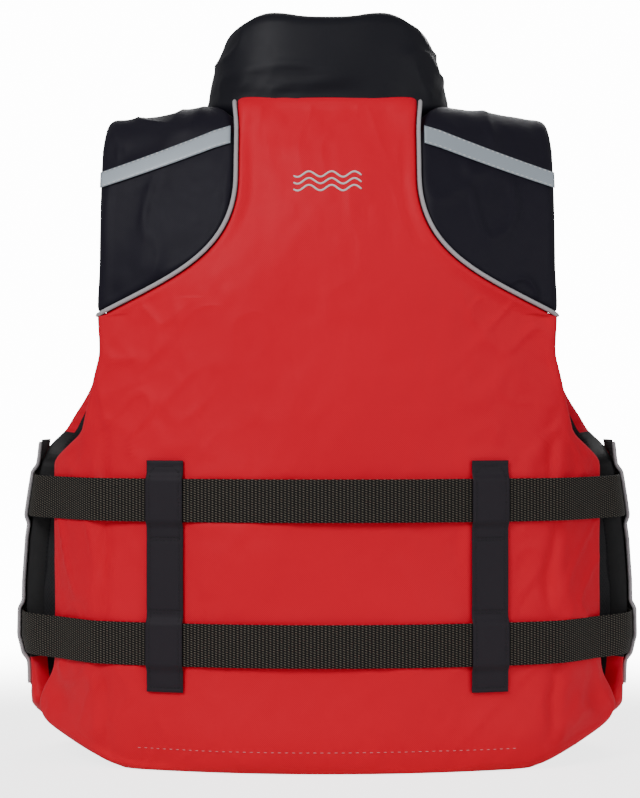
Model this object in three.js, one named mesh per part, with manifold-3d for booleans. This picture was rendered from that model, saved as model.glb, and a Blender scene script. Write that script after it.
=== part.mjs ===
// A foam life jacket: a padded back and two padded fronts closed by a zip, padded shoulders and a
// stand-up collar, two webbing belts with side-release buckles, belt loops, flap pockets and trim.
// Millimetres, +Z up. The wearer faces +Y, so the back panel faces -Y, and +X is the wearer's right.
import * as THREE from "three";
import { mergeVertices } from "three/addons/utils/BufferGeometryUtils.js";
import Module from "manifold-3d";

const wasm = await Module();
wasm.setup();
const degree = Math.PI / 180;

// Driving dimensions.
const gap = 0.4; // clearance between hard pieces
const softGap = 2.1; // clearance between a cover, its foam and its lining
const sideGap = 3.6; // the same along their edges, where the panels curve most
const cloth = 1.5; // covers and linings
const padDepth = 36; // outer face of the back or a front to the inner face of its lining
const edgeDepth = 24; // the same where the padding thins towards a side edge
const shoulderDepth = 26;
const foamSplit = 0.5; // share of the padding that the outer foam layer takes
const frontLean = 0.09; // how far the front leans in towards the neck, as a slope
const bladeStart = 408; // height where the back starts to lean forward
const backTop = bladeStart + 194; // top of the back panel, measured up its face
const frontTop = bladeStart + 4; // height of the seam between a front and its shoulder
const zipPastSeam = 34; // how far the zip runs on above that seam
const zipTop = frontTop + zipPastSeam;
const valley = 8.5; // half width of the channel between the fronts
const armholeHalf = 206; // half width of the jacket across the shoulder blades
const beltWidth = 38;
const beltThick = 1.8;
const beltLift = 1; // clearance between the covers and a belt
const beltHeights = { upper: 241, lower: 114 };
const loopWidth = 34;
const loopMiddle = 145; // belt loop's distance from the middle of the back
const loopThick = 1.6;
const loopRows = [72, 143, 207, 276]; // cross-stitched rows of a belt loop
const pipingRadius = 2;
const tapeWidth = 18;
const tapeThick = 0.8;
const tapeLift = 1;
const toothPitch = 8;
const pocketWidth = 104;
const pocketHeight = 62;
const pocketDepth = 20;

// Horizontal section of the outer face, from the middle of the back round to the middle of the front,
// as arcs of [length, turn in degrees].
const section = [
  [205.3, 24.5], // back
  [(padDepth + 4.1) * 24 * degree, 24], // crease, wide enough for the padding inside its turn
  [68, 12], // wing
  [(padDepth + 24) * 29.5 * degree, 29.5],
  [55, 0], // side
  [(padDepth + 44) * 90 * degree, 90], // front corner
];
const total = (arcs) => arcs.reduce((sum, [length]) => sum + length, 0);
section.push([follow(section, total(section)).along, 0]); // the front runs flat to the middle
const halfRound = total(section);
const creaseAt = section[0][0];
const wingEnd = total(section.slice(0, 3));
const backRadius = creaseAt / (section[0][1] * degree);
const cornerRadius = section[5][0] / (section[5][1] * degree);
const flatFront = section[6][0];

function smooth(value, low, high) {
  const t = Math.min(1, Math.max(0, (value - low) / (high - low)));
  return t * t * (3 - 2 * t);
}

function mix(a, b, share) {
  return a + (b - a) * share;
}

// Straight-line reading of a list of [at, value] points.
function table(points, at) {
  const next = points.findIndex(([x]) => x >= at);
  if (next < 0) return points[points.length - 1][1];
  if (next === 0) return points[0][1];
  const [x0, v0] = points[next - 1];
  const [x1, v1] = points[next];
  return mix(v0, v1, (at - x0) / (x1 - x0));
}

// Follows arcs for a distance, starting straight along: how far that goes across and along.
function follow(arcs, distance) {
  let across = 0;
  let along = 0;
  let heading = 0;
  let left = distance;
  arcs.forEach(([length, turn], i) => {
    const step = i === arcs.length - 1 ? left : Math.min(left, length);
    const turned = (turn * degree * step) / length;
    if (Math.abs(turned) < 1e-9) {
      across += step * Math.sin(heading);
      along += step * Math.cos(heading);
    } else {
      const radius = step / turned;
      across += radius * (Math.cos(heading) - Math.cos(heading + turned));
      along += radius * (Math.sin(heading + turned) - Math.sin(heading));
    }
    heading += turned;
    left -= step;
  });
  return { across, along };
}

const depth = follow(section, halfRound).across;
const backY = -depth / 2;
const frontTilt = Math.atan(frontLean);

// Side view of a shoulder: blade, rise to the neck, roll to the top, top, roll to the chest, chest,
// easing into the front. The rise is steeper beside the neck; the top and chest close the arch.
const bladeTurn = 25;
const chestSlope = 60; // below level
const bladeRadius = 360;
const rollRadius = padDepth + 14;
const easeRadius = 120;
const bladeLength = bladeRadius * bladeTurn * degree;
function archAt(x) {
  const rise = mix(34, 8, smooth(Math.abs(x), 40, 95));
  const bladeSin = Math.sin(bladeTurn * degree);
  const bladeCos = Math.cos(bladeTurn * degree);
  const slopeSin = Math.sin(chestSlope * degree);
  const slopeCos = Math.cos(chestSlope * degree);
  const up = bladeRadius * bladeSin + rise * bladeCos + rollRadius * (1 - bladeSin);
  const eased = easeRadius * (slopeCos - Math.sin(frontTilt));
  const chest = (up - rollRadius * (1 - slopeCos) - eased - (frontTop - bladeStart)) / slopeSin;
  const rolled = bladeRadius * (1 - bladeCos) + rise * bladeSin + rollRadius * (bladeCos + slopeSin);
  const easedAcross = easeRadius * (Math.cos(frontTilt) - slopeSin);
  const top = depth - frontLean * frontTop - rolled - chest * slopeCos - easedAcross;
  const easeTurn = 90 - chestSlope - frontTilt / degree;
  return [
    [bladeLength, bladeTurn],
    [rise, 0],
    [rollRadius * (90 - bladeTurn) * degree, 90 - bladeTurn],
    [top, 0],
    [rollRadius * chestSlope * degree, chestSlope],
    [chest, 0],
    [easeRadius * easeTurn * degree, easeTurn],
  ];
}

// Outer face of the back and a shoulder: x from the middle, t up the back, over the top and down.
function shoulderFace(x, t) {
  const up = follow(archAt(x), Math.max(0, t - bladeStart));
  const forward = smooth(t, bladeStart + 157, bladeStart + 330);
  const backSag = backRadius - Math.sqrt(backRadius ** 2 - x ** 2);
  const over = Math.max(0, Math.abs(x) - flatFront);
  const frontSag = cornerRadius - Math.sqrt(cornerRadius ** 2 - over ** 2);
  const closing = 1 - (frontLean / depth) * Math.min(t, backTop);
  const onTop = smooth(t, bladeStart + 80, bladeStart + 190) * (1 - smooth(t, bladeStart + 270, bladeStart + 390));
  const drop = 0.11 * Math.max(0, Math.abs(x) - 100) * onTop;
  const y = backY + up.across + mix(backSag * closing, -frontSag, forward);
  return new THREE.Vector3(x, y, Math.min(t, bladeStart) + up.along - drop);
}

// The same face with v counting hundredths of an arc of the arch, so that rows meet the arcs' ends.
function archRow(x, v) {
  if (v < 0) return bladeStart + (v / 100) * bladeLength;
  const arcs = archAt(x);
  const whole = Math.min(Math.floor(v / 100), arcs.length - 1);
  return bladeStart + total(arcs.slice(0, whole)) + (v / 100 - whole) * arcs[whole][0];
}
const yokeFace = (x, v) => shoulderFace(x, archRow(x, v));
yokeFace.arches = true;

// Outer face round the body: s round from the middle of the back, t up. The hips flare and the sides
// stand out between the hem and the armholes.
const sideBulge = [
  [0, 0],
  [34, 2],
  [82, 15],
  [110, 23],
  [160, 22],
  [200, 19],
  [240, 13],
  [276, 7],
  [340, 0],
];
function roundFace(s, t, bulgeFrom, bulgeTo) {
  const side = Math.sign(s) || 1;
  const plan = follow(section, Math.abs(s));
  if (t > bladeStart && Math.abs(s) < wingEnd) return shoulderFace(side * plan.along, t);
  const flare = 10 * Math.exp(-(((t - 45) / 32) ** 2)) * smooth(Math.abs(s), 215, 300);
  const towardsFront = smooth(halfRound - Math.abs(s), 100, 300);
  const bulge = table(sideBulge, t) * smooth(Math.abs(s), bulgeFrom, bulgeTo);
  const x = plan.along + (flare + bulge) * towardsFront;
  return new THREE.Vector3(side * x, backY + plan.across * (1 - (frontLean / depth) * t), t);
}
const bodyFace = (s, t) => roundFace(s, t, wingEnd, wingEnd + 45);
// A belt leaves the wing early and runs straight across to the side.
const beltFace = (s, t) => roundFace(s, t, wingEnd - 30, wingEnd + 55);

// Outer face of the wearer's right front: u back from the middle, t up. Above the shoulder seam it
// runs on in the zip's plane beside the zip and eases into the chest further out.
function frontFace(u, t) {
  if (t <= frontTop) return bodyFace(halfRound - u, t);
  const rise = t - frontTop;
  const eased = Math.min(rise, easeRadius * (90 - chestSlope - frontTilt / degree) * degree);
  const angle = frontTilt + eased / easeRadius;
  const chestUp = easeRadius * (Math.sin(angle) - Math.sin(frontTilt)) + (rise - eased) * Math.cos(angle);
  const chestIn = easeRadius * (Math.cos(frontTilt) - Math.cos(angle)) + (rise - eased) * Math.sin(angle);
  const share = smooth(u, 20, 80);
  const inwards = mix(rise * Math.sin(frontTilt), chestIn, share);
  const upwards = mix(rise * Math.cos(frontTilt), chestUp, share);
  return bodyFace(halfRound - u, frontTop).add(new THREE.Vector3(0, -inwards, upwards));
}

// A face's outward normal, measured on the face itself.
// Near the hem it is kept level, so that no pad dips below its outer edge.
function normalAt(face, u, v) {
  const step = 0.5;
  const du = face(u + step, v).sub(face(u - step, v));
  const dv = face(u, v + step).sub(face(u, v - step));
  const normal = du.cross(dv).normalize();
  if (!face.arches) normal.z *= smooth(v, 0, 120);
  return normal.normalize();
}

function onFace(face, u, v, out) {
  return face(u, v).addScaledVector(normalAt(face, u, v), out);
}

// Only positions, with shared corners merged.
function closed(shape) {
  const bare = shape.clone();
  bare.deleteAttribute("normal");
  bare.deleteAttribute("uv");
  return mergeVertices(bare, 1e-3);
}

// A pad or sheet on a face. rows are v values; columns(v) gives the u values along a row; near and far
// give how deep its two sides lie below the face, from a share of the way across. A margin brings all
// four edges in, further where a side edge runs at a slant; rowScale is how many v a millimetre takes.
function slab({ face, rows, columns, near, far, margin = 0, rowScale = [1, 1] }) {
  const wide = columns(rows[0]).length - 1;
  const high = rows.length - 1;
  const inset = (v, i) => margin * Math.min(1.5, Math.hypot(1, (columns(v + 1)[i] - columns(v - 1)[i]) / 2));
  const shape = new THREE.BoxGeometry(1, 1, 1, wide, high, 1);
  const at = shape.attributes.position;
  for (let k = 0; k < at.count; k++) {
    const i = Math.round((at.getX(k) + 0.5) * wide);
    const j = Math.round((at.getY(k) + 0.5) * high);
    const v = rows[j] + (j === 0 ? margin * rowScale[0] : 0) - (j === high ? margin * rowScale[1] : 0);
    const u = columns(v)[i] + (i === 0 ? inset(v, i) : 0) - (i === wide ? inset(v, i) : 0);
    const point = onFace(face, u, v, -(at.getZ(k) > 0 ? near : far)(i / wide, v));
    at.setXYZ(k, point.x, point.y, point.z);
  }
  // The back face's squares are split along the same diagonal as the front's, so that layers nest.
  const { start, count } = shape.groups[5];
  const corners = shape.index;
  for (let k = start; k < start + count; k += 6) {
    corners.setX(k + 2, corners.getX(k + 4));
    corners.setX(k + 3, corners.getX(k));
  }
  return closed(shape);
}

function solid(shape) {
  const bare = closed(shape);
  return new wasm.Manifold(
    new wasm.Mesh({
      numProp: 3,
      vertProperties: new Float32Array(bare.attributes.position.array),
      triVerts: new Uint32Array(bare.index.array),
    }),
  );
}

function geometryOf(made) {
  const mesh = made.getMesh();
  const shape = new THREE.BufferGeometry();
  shape.setAttribute("position", new THREE.BufferAttribute(mesh.vertProperties, 3));
  shape.setIndex(new THREE.BufferAttribute(mesh.triVerts, 1));
  return shape;
}

function cut(shape, ...tools) {
  return geometryOf(tools.reduce((made, tool) => made.subtract(solid(tool)), solid(shape)));
}

function join(shape, ...others) {
  return geometryOf(others.reduce((made, other) => made.add(solid(other)), solid(shape)));
}

function box(x0, x1, y0, y1, z0, z1) {
  const shape = new THREE.BoxGeometry(x1 - x0, y1 - y0, z1 - z0);
  return shape.translate((x0 + x1) / 2, (y0 + y1) / 2, (z0 + z1) / 2);
}

function shares(count) {
  return Array.from({ length: count + 1 }, (_, i) => i / count);
}

// A cover is a tray of cloth, open towards the wearer; foam fills it and a lining closes it. A panel
// has a face, rows and columns as in slab, and deep for a share of its width.
function cover(panel) {
  const outside = slab({ ...panel, near: () => 0, far: panel.deep });
  const hollow = slab({
    ...panel,
    margin: cloth,
    near: () => cloth,
    far: (share) => panel.deep(share) + 3,
  });
  return cut(outside, hollow);
}

// A sheet of foam inside a cover, between two shares of the padding.
function foam(panel, from = 0, to = 1) {
  const level = (share, at) => mix(cloth + softGap, panel.deep(share) - cloth - softGap, at);
  return slab({
    ...panel,
    margin: cloth + sideGap,
    near: (share) => level(share, from) + (from > 0 ? softGap / 2 : 0),
    far: (share) => level(share, to) - (to < 1 ? softGap / 2 : 0),
  });
}

function lining(panel) {
  return slab({
    ...panel,
    margin: cloth + sideGap,
    near: (share) => panel.deep(share) - cloth,
    far: panel.deep,
  });
}

// A round cord along points.
function cord(points, radius, steps) {
  const sides = 6;
  const ring = Array.from({ length: sides }, (_, i) => {
    const angle = (i / sides) * 2 * Math.PI;
    return new THREE.Vector2(radius * Math.cos(angle), radius * Math.sin(angle));
  });
  const path = new THREE.CatmullRomCurve3(points, false, "centripetal");
  return new THREE.ExtrudeGeometry(new THREE.Shape(ring), { steps, extrudePath: path, bevelEnabled: false });
}

// A strip of even thickness along [x, y] points, extruded over a width that is centred on z = 0.
function strip(line, thick, width) {
  const points = line.map(([x, y]) => new THREE.Vector2(x, y));
  const side = (sign) =>
    points.map((point, i) => {
      const before = points[Math.max(0, i - 1)];
      const after = points[Math.min(points.length - 1, i + 1)];
      const along = after.clone().sub(before).normalize();
      return new THREE.Vector2(-along.y, along.x).multiplyScalar((sign * thick) / 2).add(point);
    });
  const outline = new THREE.Shape([...side(1), ...side(-1).reverse()]);
  const shape = new THREE.ExtrudeGeometry(outline, { depth: width, bevelEnabled: false });
  return shape.translate(0, 0, -width / 2);
}

// A plate drawn as [x, up] corners, from one distance out to another.
function plate(corners, from, to) {
  const outline = new THREE.Shape(corners.map(([x, up]) => new THREE.Vector2(x, up)));
  const shape = new THREE.ExtrudeGeometry(outline, { depth: to - from, bevelEnabled: false });
  return shape.rotateX(Math.PI / 2).translate(0, to, 0);
}

// Corners of a rectangle with its corners cut off.
function rectangle(x0, x1, z0, z1, chamfer) {
  return [
    [x0 + chamfer, z0],
    [x1 - chamfer, z0],
    [x1, z0 + chamfer],
    [x1, z1 - chamfer],
    [x1 - chamfer, z1],
    [x0 + chamfer, z1],
    [x0, z1 - chamfer],
    [x0, z0 + chamfer],
  ];
}

const materials = {
  redNylon: new THREE.MeshStandardMaterial({ color: 0xd8202f, roughness: 0.62, metalness: 0 }),
  blackNylon: new THREE.MeshStandardMaterial({ color: 0x17171d, roughness: 0.6, metalness: 0 }),
  lining: new THREE.MeshStandardMaterial({ color: 0x1b1b1e, roughness: 0.85, metalness: 0 }),
  sideMesh: new THREE.MeshStandardMaterial({ color: 0x26262b, roughness: 0.9, metalness: 0 }),
  foam: new THREE.MeshStandardMaterial({ color: 0xe9e6da, roughness: 0.8, metalness: 0 }),
  webbing: new THREE.MeshStandardMaterial({ color: 0x1a1815, roughness: 0.7, metalness: 0 }),
  reflective: new THREE.MeshStandardMaterial({ color: 0xa9b6bd, roughness: 0.4, metalness: 0.1 }),
  piping: new THREE.MeshStandardMaterial({ color: 0xb9b5b8, roughness: 0.5, metalness: 0 }),
  plastic: new THREE.MeshStandardMaterial({ color: 0x131313, roughness: 0.4, metalness: 0 }),
  metal: new THREE.MeshStandardMaterial({ color: 0x2b2b2e, roughness: 0.35, metalness: 0.8 }),
};

const group = new THREE.Group();

function add(name, shape, material, parent = group) {
  const mesh = new THREE.Mesh(shape, material);
  mesh.name = name;
  parent.add(mesh);
  return mesh;
}

// The wearer's right piece as drawn, and its mirror image on the left.
function addPair(name, shape, material, parent = group) {
  add(`${name}_right`, shape, material, parent);
  add(`${name}_left`, shape, material, parent).scale.x = -1;
}

// --- Padded back ---
// Half width of the back round the body at each height: hem corner, hip, side, armhole.
const armholeRound = armholeHalf + 6;
const backOutline = [
  [0, 190],
  [14, 240],
  [34, 292],
  [50, 304],
  [66, 300],
  [84, wingEnd],
  [276, wingEnd],
  [300, 238],
  [bladeStart - 39, armholeRound],
];
// Seam between the back and a shoulder: straight beside the neck, then sweeping out to the armhole.
const seamNeck = 81;
const seamLow = bladeStart - 4;
const seamSweep = new THREE.CubicBezierCurve(
  new THREE.Vector2(seamNeck, bladeStart + 122),
  new THREE.Vector2(seamNeck, bladeStart + 48),
  new THREE.Vector2(138, bladeStart + 30),
  new THREE.Vector2(armholeHalf, seamLow),
);
const sweep = seamSweep.getPoints(12).map((point) => [point.y, point.x]).reverse();
const seamLine = [...sweep, [backTop, seamNeck]];
const seamHalf = pipingRadius + gap; // from the middle of a piped seam to the cloth beside it

function backEdge(t) {
  if (t < seamLow - 8) return table(backOutline, t);
  return table([[seamLow - 8, armholeRound], [seamLow, armholeHalf - 8], ...seamLine.slice(1)], t) - seamHalf;
}

// Columns out to the crease between the main slab and a wing, then on to the edge; mirrored.
function backColumns(t) {
  const reach = backEdge(t);
  const core = Math.min(creaseAt, reach * 0.78);
  const half = [...shares(3).map((share) => share * core), ...shares(3).slice(1).map((share) => mix(core, reach, share))];
  return [...half.slice(1).reverse().map((s) => -s), ...half];
}

const back = {
  face: bodyFace,
  rows: [
    ...[0, 7, 14, 34, 50, 66, 84, 110, 180, 276, 300, 330],
    ...[-39, -12, -4, 10, 28, 62, 112, 157].map((above) => bladeStart + above),
    backTop,
  ],
  columns: backColumns,
  rowScale: [1, 1.2],
  deep: (share) => mix(padDepth, edgeDepth, smooth(Math.abs(2 * share - 1), 0.5, 1)),
};
add("back_cover", cover(back), materials.redNylon);
add("back_foam_outer", foam(back, 0, foamSplit), materials.foam);
add("back_foam_inner", foam(back, foamSplit, 1), materials.foam);
add("back_lining", lining(back), materials.lining);

// --- Shoulders ---
// Inner edge over the shoulder: beside the back seam, then round the neck and down to the front seam.
const neckEdge = [
  [100, seamNeck + seamHalf],
  [200, 85],
  [250, 90],
  [300, 106],
  [400, 115],
  [500, 116],
  [550, 109],
  [575, 98],
  [600, 84],
  [700, 80],
];
const shoulderEdge = [
  [0, armholeHalf],
  [200, armholeHalf],
  [300, armholeHalf - 6],
  [400, armholeHalf - 9],
  [500, armholeHalf - 6],
  [600, armholeHalf],
];
const shoulderRows = [0, 10, 20, 35, 65, 100, 200, 250, 300, 400, 450, 500, 550, 600, 700];
function shoulderInner(v) {
  if (v >= 100) return table(neckEdge, v);
  return table(seamLine, bladeStart + (v / 100) * bladeLength) + seamHalf;
}
const shoulder = {
  face: yokeFace,
  rows: shoulderRows,
  rowScale: [0.65, 2],
  columns: (v) => shares(3).map((share) => mix(shoulderInner(v), table(shoulderEdge, v), share)),
  deep: () => shoulderDepth,
};
addPair("shoulder_cover", cover(shoulder), materials.blackNylon);
addPair("shoulder_foam", foam(shoulder), materials.foam);
addPair("shoulder_lining", lining(shoulder), materials.lining);

// --- Padded fronts ---
const sideSeam = wingEnd + 55; // where a front starts, round from the middle of the back
const frontOutline = [
  [0, 200],
  [14, 262],
  [34, 335],
  [50, halfRound - 308],
  [64, halfRound - 314],
  [82, halfRound - 332],
  [100, halfRound - sideSeam],
  [276, halfRound - sideSeam],
  [288, 298],
  [300, 266],
  [330, 242],
  [bladeStart - 39, armholeHalf + 14],
  [frontTop - 4, armholeHalf + 2],
  [frontTop, 80 - seamHalf],
  [zipTop + 24, 80 - seamHalf],
];
const neckline = [
  [0, valley],
  [zipTop, valley],
  [zipTop + 8, 18],
  [zipTop + 16, 32],
];
// Columns run from the side round the corner to the flat front and the zip; u is turned over so that
// the outside of the face stays out.
function frontColumns(t) {
  const first = table(neckline, t);
  const last = table(frontOutline, t);
  const flat = Math.min(flatFront - 6, mix(first, last, 0.42));
  const corner = shares(7).map((share) => mix(last, flat, share));
  return [...corner, mix(flat, first, 0.5), first].map((u) => -u);
}

const front = {
  face: (u, t) => frontFace(-u, t),
  rows: [
    ...[0, 7, 14, 34, 50, 64, 82, 100, 110, 180, 276, 288, 300, 330],
    ...[bladeStart - 39, frontTop - 4, frontTop, zipTop, zipTop + 8, zipTop + 16],
  ],
  columns: frontColumns,
  deep: (share) => mix(edgeDepth, padDepth, smooth(share, 0, 0.5)),
};
addPair("front_cover", cover(front), materials.redNylon);
addPair("front_foam", foam(front), materials.foam);
addPair("front_lining", lining(front), materials.lining);

// --- Sides ---
// A thin gusset closes the gap between the back and a front, sunk below their faces.
const gussetSink = 19;
const gusset = {
  face: bodyFace,
  rows: [102, 110, 180, 240, 272],
  columns: () => [wingEnd + gap, wingEnd + 14, wingEnd + 28, wingEnd + 42, sideSeam - gap],
  near: () => gussetSink,
  far: () => gussetSink + cloth,
};
addPair("side_gusset", slab(gusset), materials.lining);

// A mesh band over the belts edges each front, with a piped rear edge.
const bandFrom = sideSeam + 3;
const bandTo = sideSeam + 52;
const bandUnder = beltLift + beltThick + 1.4;
const band = {
  face: bodyFace,
  rows: [62, 84, 110, 160, 200, 240, 276, 292],
  columns: () => shares(3).map((share) => mix(bandFrom, bandTo, share)),
  near: () => -bandUnder - cloth,
  far: () => -bandUnder,
};
addPair("side_band", slab(band), materials.sideMesh);
const bandEdge = bandFrom - gap - pipingRadius;
const bandPiping = [64, 84, 110, 160, 200, 240, 276, 290].map((t) =>
  onFace(bodyFace, bandEdge, t, bandUnder + pipingRadius - 0.4),
);
addPair("side_piping", cord(bandPiping, pipingRadius, 12), materials.piping);

// --- Collar ---
// A closed curve round the neck, squarer than an ellipse: angle from the middle of the back, height
// share v in hundredths from its foot to its top edge. Its back and front lie in from the outer face
// of the back, and its heights are above the start of the blade.
const collarThick = 14;
const neckDepth = depth - frontLean * bladeStart;
const collarFoot = { half: 112, back: 52, front: neckDepth - 10.2 };
const collarHead = { half: 96, back: 60, front: neckDepth - 30.2 };
const collarSquareness = 3;
const overZip = zipTop - bladeStart;
const footHeights = [
  [0, 188.5],
  [30, 188.5],
  [45, 190.5],
  [60, 192],
  [75, 191],
  [83, 188],
  [90, 183],
  [97, 163],
  [105, 139],
  [112, 120],
  [120, 103],
  [135, overZip + 41],
  [150, overZip + 24],
  [165, overZip + 19],
  [180, overZip + 18],
];
const headHeights = [
  [0, 265],
  [20, 272],
  [35, 269],
  [60, 258],
  [90, 245],
  [105, 216],
  [120, 174],
  [135, 142],
  [150, overZip + 82],
  [165, overZip + 70],
  [180, overZip + 66],
];
function collarFace(angle, v) {
  const share = v / 100;
  const ring = (of) => {
    const power = (value) => Math.sign(value) * Math.abs(value) ** (2 / collarSquareness);
    const at = angle * degree;
    const [middle, deep] = [(of.front + of.back) / 2, (of.front - of.back) / 2];
    return [of.half * power(Math.sin(at)), backY + middle - deep * power(Math.cos(at))];
  };
  const [x0, y0] = ring(collarFoot);
  const [x1, y1] = ring(collarHead);
  const turn = Math.abs(angle);
  return new THREE.Vector3(
    mix(x0, x1, share),
    mix(y0, y1, share),
    bladeStart + mix(table(footHeights, turn), table(headHeights, turn), share),
  );
}
const collarAngles = [0, 20, 40, 60, 75, 83, 90, 97, 105, 112, 120, 132, 145, 160, 174];
const collar = {
  face: collarFace,
  rows: [0, 30, 65, 100],
  rowScale: [3, 2],
  columns: () => [...collarAngles.slice(1).reverse().map((angle) => -angle), ...collarAngles],
  deep: () => collarThick,
};
add("collar_cover", cover(collar), materials.blackNylon);
add("collar_foam", foam(collar), materials.foam);
add("collar_lining", lining(collar), materials.blackNylon);

// Hanging loop at the foot of the collar, inside.
const hangLoop = strip([[-24, 0], [-16, 4.5], [0, 8], [16, 4.5], [24, 0]], 1.5, 9);
const loopAt = backY + mix(collarFoot.back, collarHead.back, 0.2) + collarThick + 3;
add("hang_loop", hangLoop.translate(0, loopAt, backTop + 10), materials.webbing);

// --- Piping and reflective tape ---
const neckPiping = [57, 27, 7].map((below) => [backTop - below, seamNeck]);
const backPiping = [...sweep.slice(1), ...neckPiping].map(([t, x]) =>
  onFace(shoulderFace, x, t, pipingRadius + 0.6),
);
addPair("back_piping", cord(backPiping, pipingRadius, 20), materials.piping);

const backTape = {
  face: (x, v) => shoulderFace(x, backTop - 31 - 0.328 * (x - 84) + v),
  rows: [-tapeWidth / 2, tapeWidth / 2],
  columns: () => shares(4).map((share) => mix(88, armholeHalf - 3, share)),
  near: () => -tapeThick - tapeLift,
  far: () => -tapeLift,
};
addPair("back_tape", slab(backTape), materials.reflective);
const frontTapeAt = 540; // on the chest, in hundredths of an arc of the arch
const frontTape = {
  face: (x, v) => shoulderFace(x, archRow(x, frontTapeAt) + v),
  rows: [-tapeWidth / 2, tapeWidth / 2],
  columns: () => shares(3).map((share) => mix(118, armholeHalf - 8, share)),
  near: () => -tapeThick - tapeLift,
  far: () => -tapeLift,
};
addPair("front_tape", slab(frontTape), materials.reflective);

// --- Belts and belt loops ---
// Both belts go round the back from the buckle's fixed end on the left to under the tail on the right.
const beltLeft = 56; // from the middle of the front
const beltRight = 100;
const beltStops = [
  0, 50, 100, 150, 190, 205, 213, 222, 240, 262, 280, 294, 306, 318, 330, 345, 360, 380, 394, 408, 422, 436,
  450, 464, 478, 492, 506, 540,
];
const beltColumns = [
  -(halfRound - beltLeft),
  ...beltStops.slice(1).reverse().map((s) => -s),
  ...beltStops,
  halfRound - beltRight,
];
const belt = (height) =>
  slab({
    face: beltFace,
    rows: [height - beltWidth / 2, height - 4, height + beltWidth / 2],
    columns: () => beltColumns,
    near: () => -beltLift - beltThick,
    far: () => -beltLift,
  });

// A belt loop is stitched down at its rows and stands over each belt.
const loopFloor = gap;
const loopOver = beltLift + beltThick + 0.7;
const overBelt = Object.values(beltHeights).flatMap((height) => [height - 24, height - 19, height + 19, height + 24]);
const loopStops = [...loopRows, ...overBelt].sort((a, b) => a - b);
const loopLift = (v) =>
  Object.values(beltHeights).some((height) => Math.abs(v - height) < 20) ? loopOver : loopFloor;
const backLoop = {
  face: bodyFace,
  rows: loopStops,
  columns: () => [loopMiddle - loopWidth / 2, loopMiddle, loopMiddle + loopWidth / 2],
  near: (share, v) => -loopLift(v) - loopThick,
  far: (share, v) => -loopLift(v),
};
addPair("back_loop", slab(backLoop), materials.webbing);

// --- Front fittings, drawn in the plane of the fronts: x, out from the plane, up along the zip ---
const fittings = new THREE.Group();
fittings.position.y = backY + depth;
fittings.rotation.x = frontTilt;
group.add(fittings);
fittings.updateMatrix();
const upAt = (height) => height / Math.cos(frontTilt);

// Zip: two tapes with moulded tooth chains that face each other and end in solid stops, and a bottom box.
const chainFrom = 14;
const chainTo = zipTop - 6;
const chain = { inner: 0.7, root: 2.2, outer: 4.2, front: -7.6, back: -10.6 };
const zipMiddle = (chain.front + chain.back) / 2;
const zipTape = box(chain.outer + gap, valley - gap, zipMiddle - 0.5, zipMiddle + 0.5, 6, zipTop);
addPair("zip_tape", zipTape, materials.blackNylon, fittings);
function toothChain(offset) {
  const corners = [[chain.outer, chainTo], [chain.outer, chainFrom], [chain.root, chainFrom]];
  for (let up = chainFrom + offset; up < chainTo - 9; up += toothPitch) {
    corners.push([chain.root, up], [chain.inner, up + 0.5], [chain.inner, up + 4], [chain.root, up + 4.5]);
  }
  const stop = [[chain.root, chainTo - 3], [chain.inner, chainTo - 3], [chain.inner, chainTo]];
  return plate([...corners, ...stop].reverse(), chain.back, chain.front);
}
add("zip_teeth_right", toothChain(1), materials.plastic, fittings);
add("zip_teeth_left", toothChain(1 + toothPitch / 2), materials.plastic, fittings).scale.x = -1;
add("zip_box", box(-chain.outer, chain.outer, chain.back - 1, chain.front + 1, 2, chainFrom - gap), materials.plastic, fittings);

// Slider: two plates joined by a thin web between the chains, with side flanges and a pull lug.
const sliderAt = chainTo - 14;
const sliderHalf = { wide: 6, high: 10 };
const flangeIn = chain.outer + gap;
const pullPivot = chain.front + 4.7;
function slider() {
  const { wide, high } = sliderHalf;
  const frontPlate = plate(rectangle(-wide, wide, -high, high, 2.5), chain.front + gap, chain.front + 2.1);
  const backPlate = plate(rectangle(-wide, wide, -high, high, 2.5), chain.back - 2.1, chain.back - gap);
  const web = box(-0.35, 0.35, chain.back - 1, chain.front + 1, -high + 2, high - 2);
  const flanges = [-1, 1].flatMap((side) =>
    [
      [zipMiddle + 0.9, chain.front + 1],
      [chain.back - 1, zipMiddle - 0.9],
    ].map(([from, to]) => {
      const edges = [side * flangeIn, side * wide].sort((a, b) => a - b);
      return box(edges[0], edges[1], from, to, -high + 3, high - 3);
    }),
  );
  const lug = box(-1.2, 1.2, chain.front + 1, pullPivot + 2, -2.8, 2.8);
  const eye = new THREE.CylinderGeometry(1.3, 1.3, 6, 10).rotateZ(Math.PI / 2).translate(0, pullPivot, 0);
  return cut(join(frontPlate, backPlate, web, ...flanges, lug), eye);
}
add("zip_slider", slider(), materials.metal, fittings).position.z = sliderAt;

// The pull hangs from a pin through the lug.
function pull() {
  const half = 4;
  const [from, to] = [pullPivot - 0.8, pullPivot + 0.8];
  const blade = plate(rectangle(-half, half, -36, -5, 1.5), from, to);
  const arms = [-1, 1].map((side) => {
    const edges = [side * 1.9, side * half].sort((a, b) => a - b);
    return box(edges[0], edges[1], from, to, -6.6, 0.8);
  });
  const pin = new THREE.CylinderGeometry(0.8, 0.8, 2 * half - 1, 8).rotateZ(Math.PI / 2).translate(0, pullPivot, 0);
  return join(blade, ...arms, pin);
}
add("zip_pull", pull(), materials.metal, fittings).position.z = sliderAt;

// Storm flap behind the zip.
const flapDepth = padDepth + 1;
const stormFlap = box(-26, 26, -flapDepth - cloth, -flapDepth, 8, zipTop - 6);
add("storm_flap", stormFlap, materials.lining, fittings);

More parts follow.
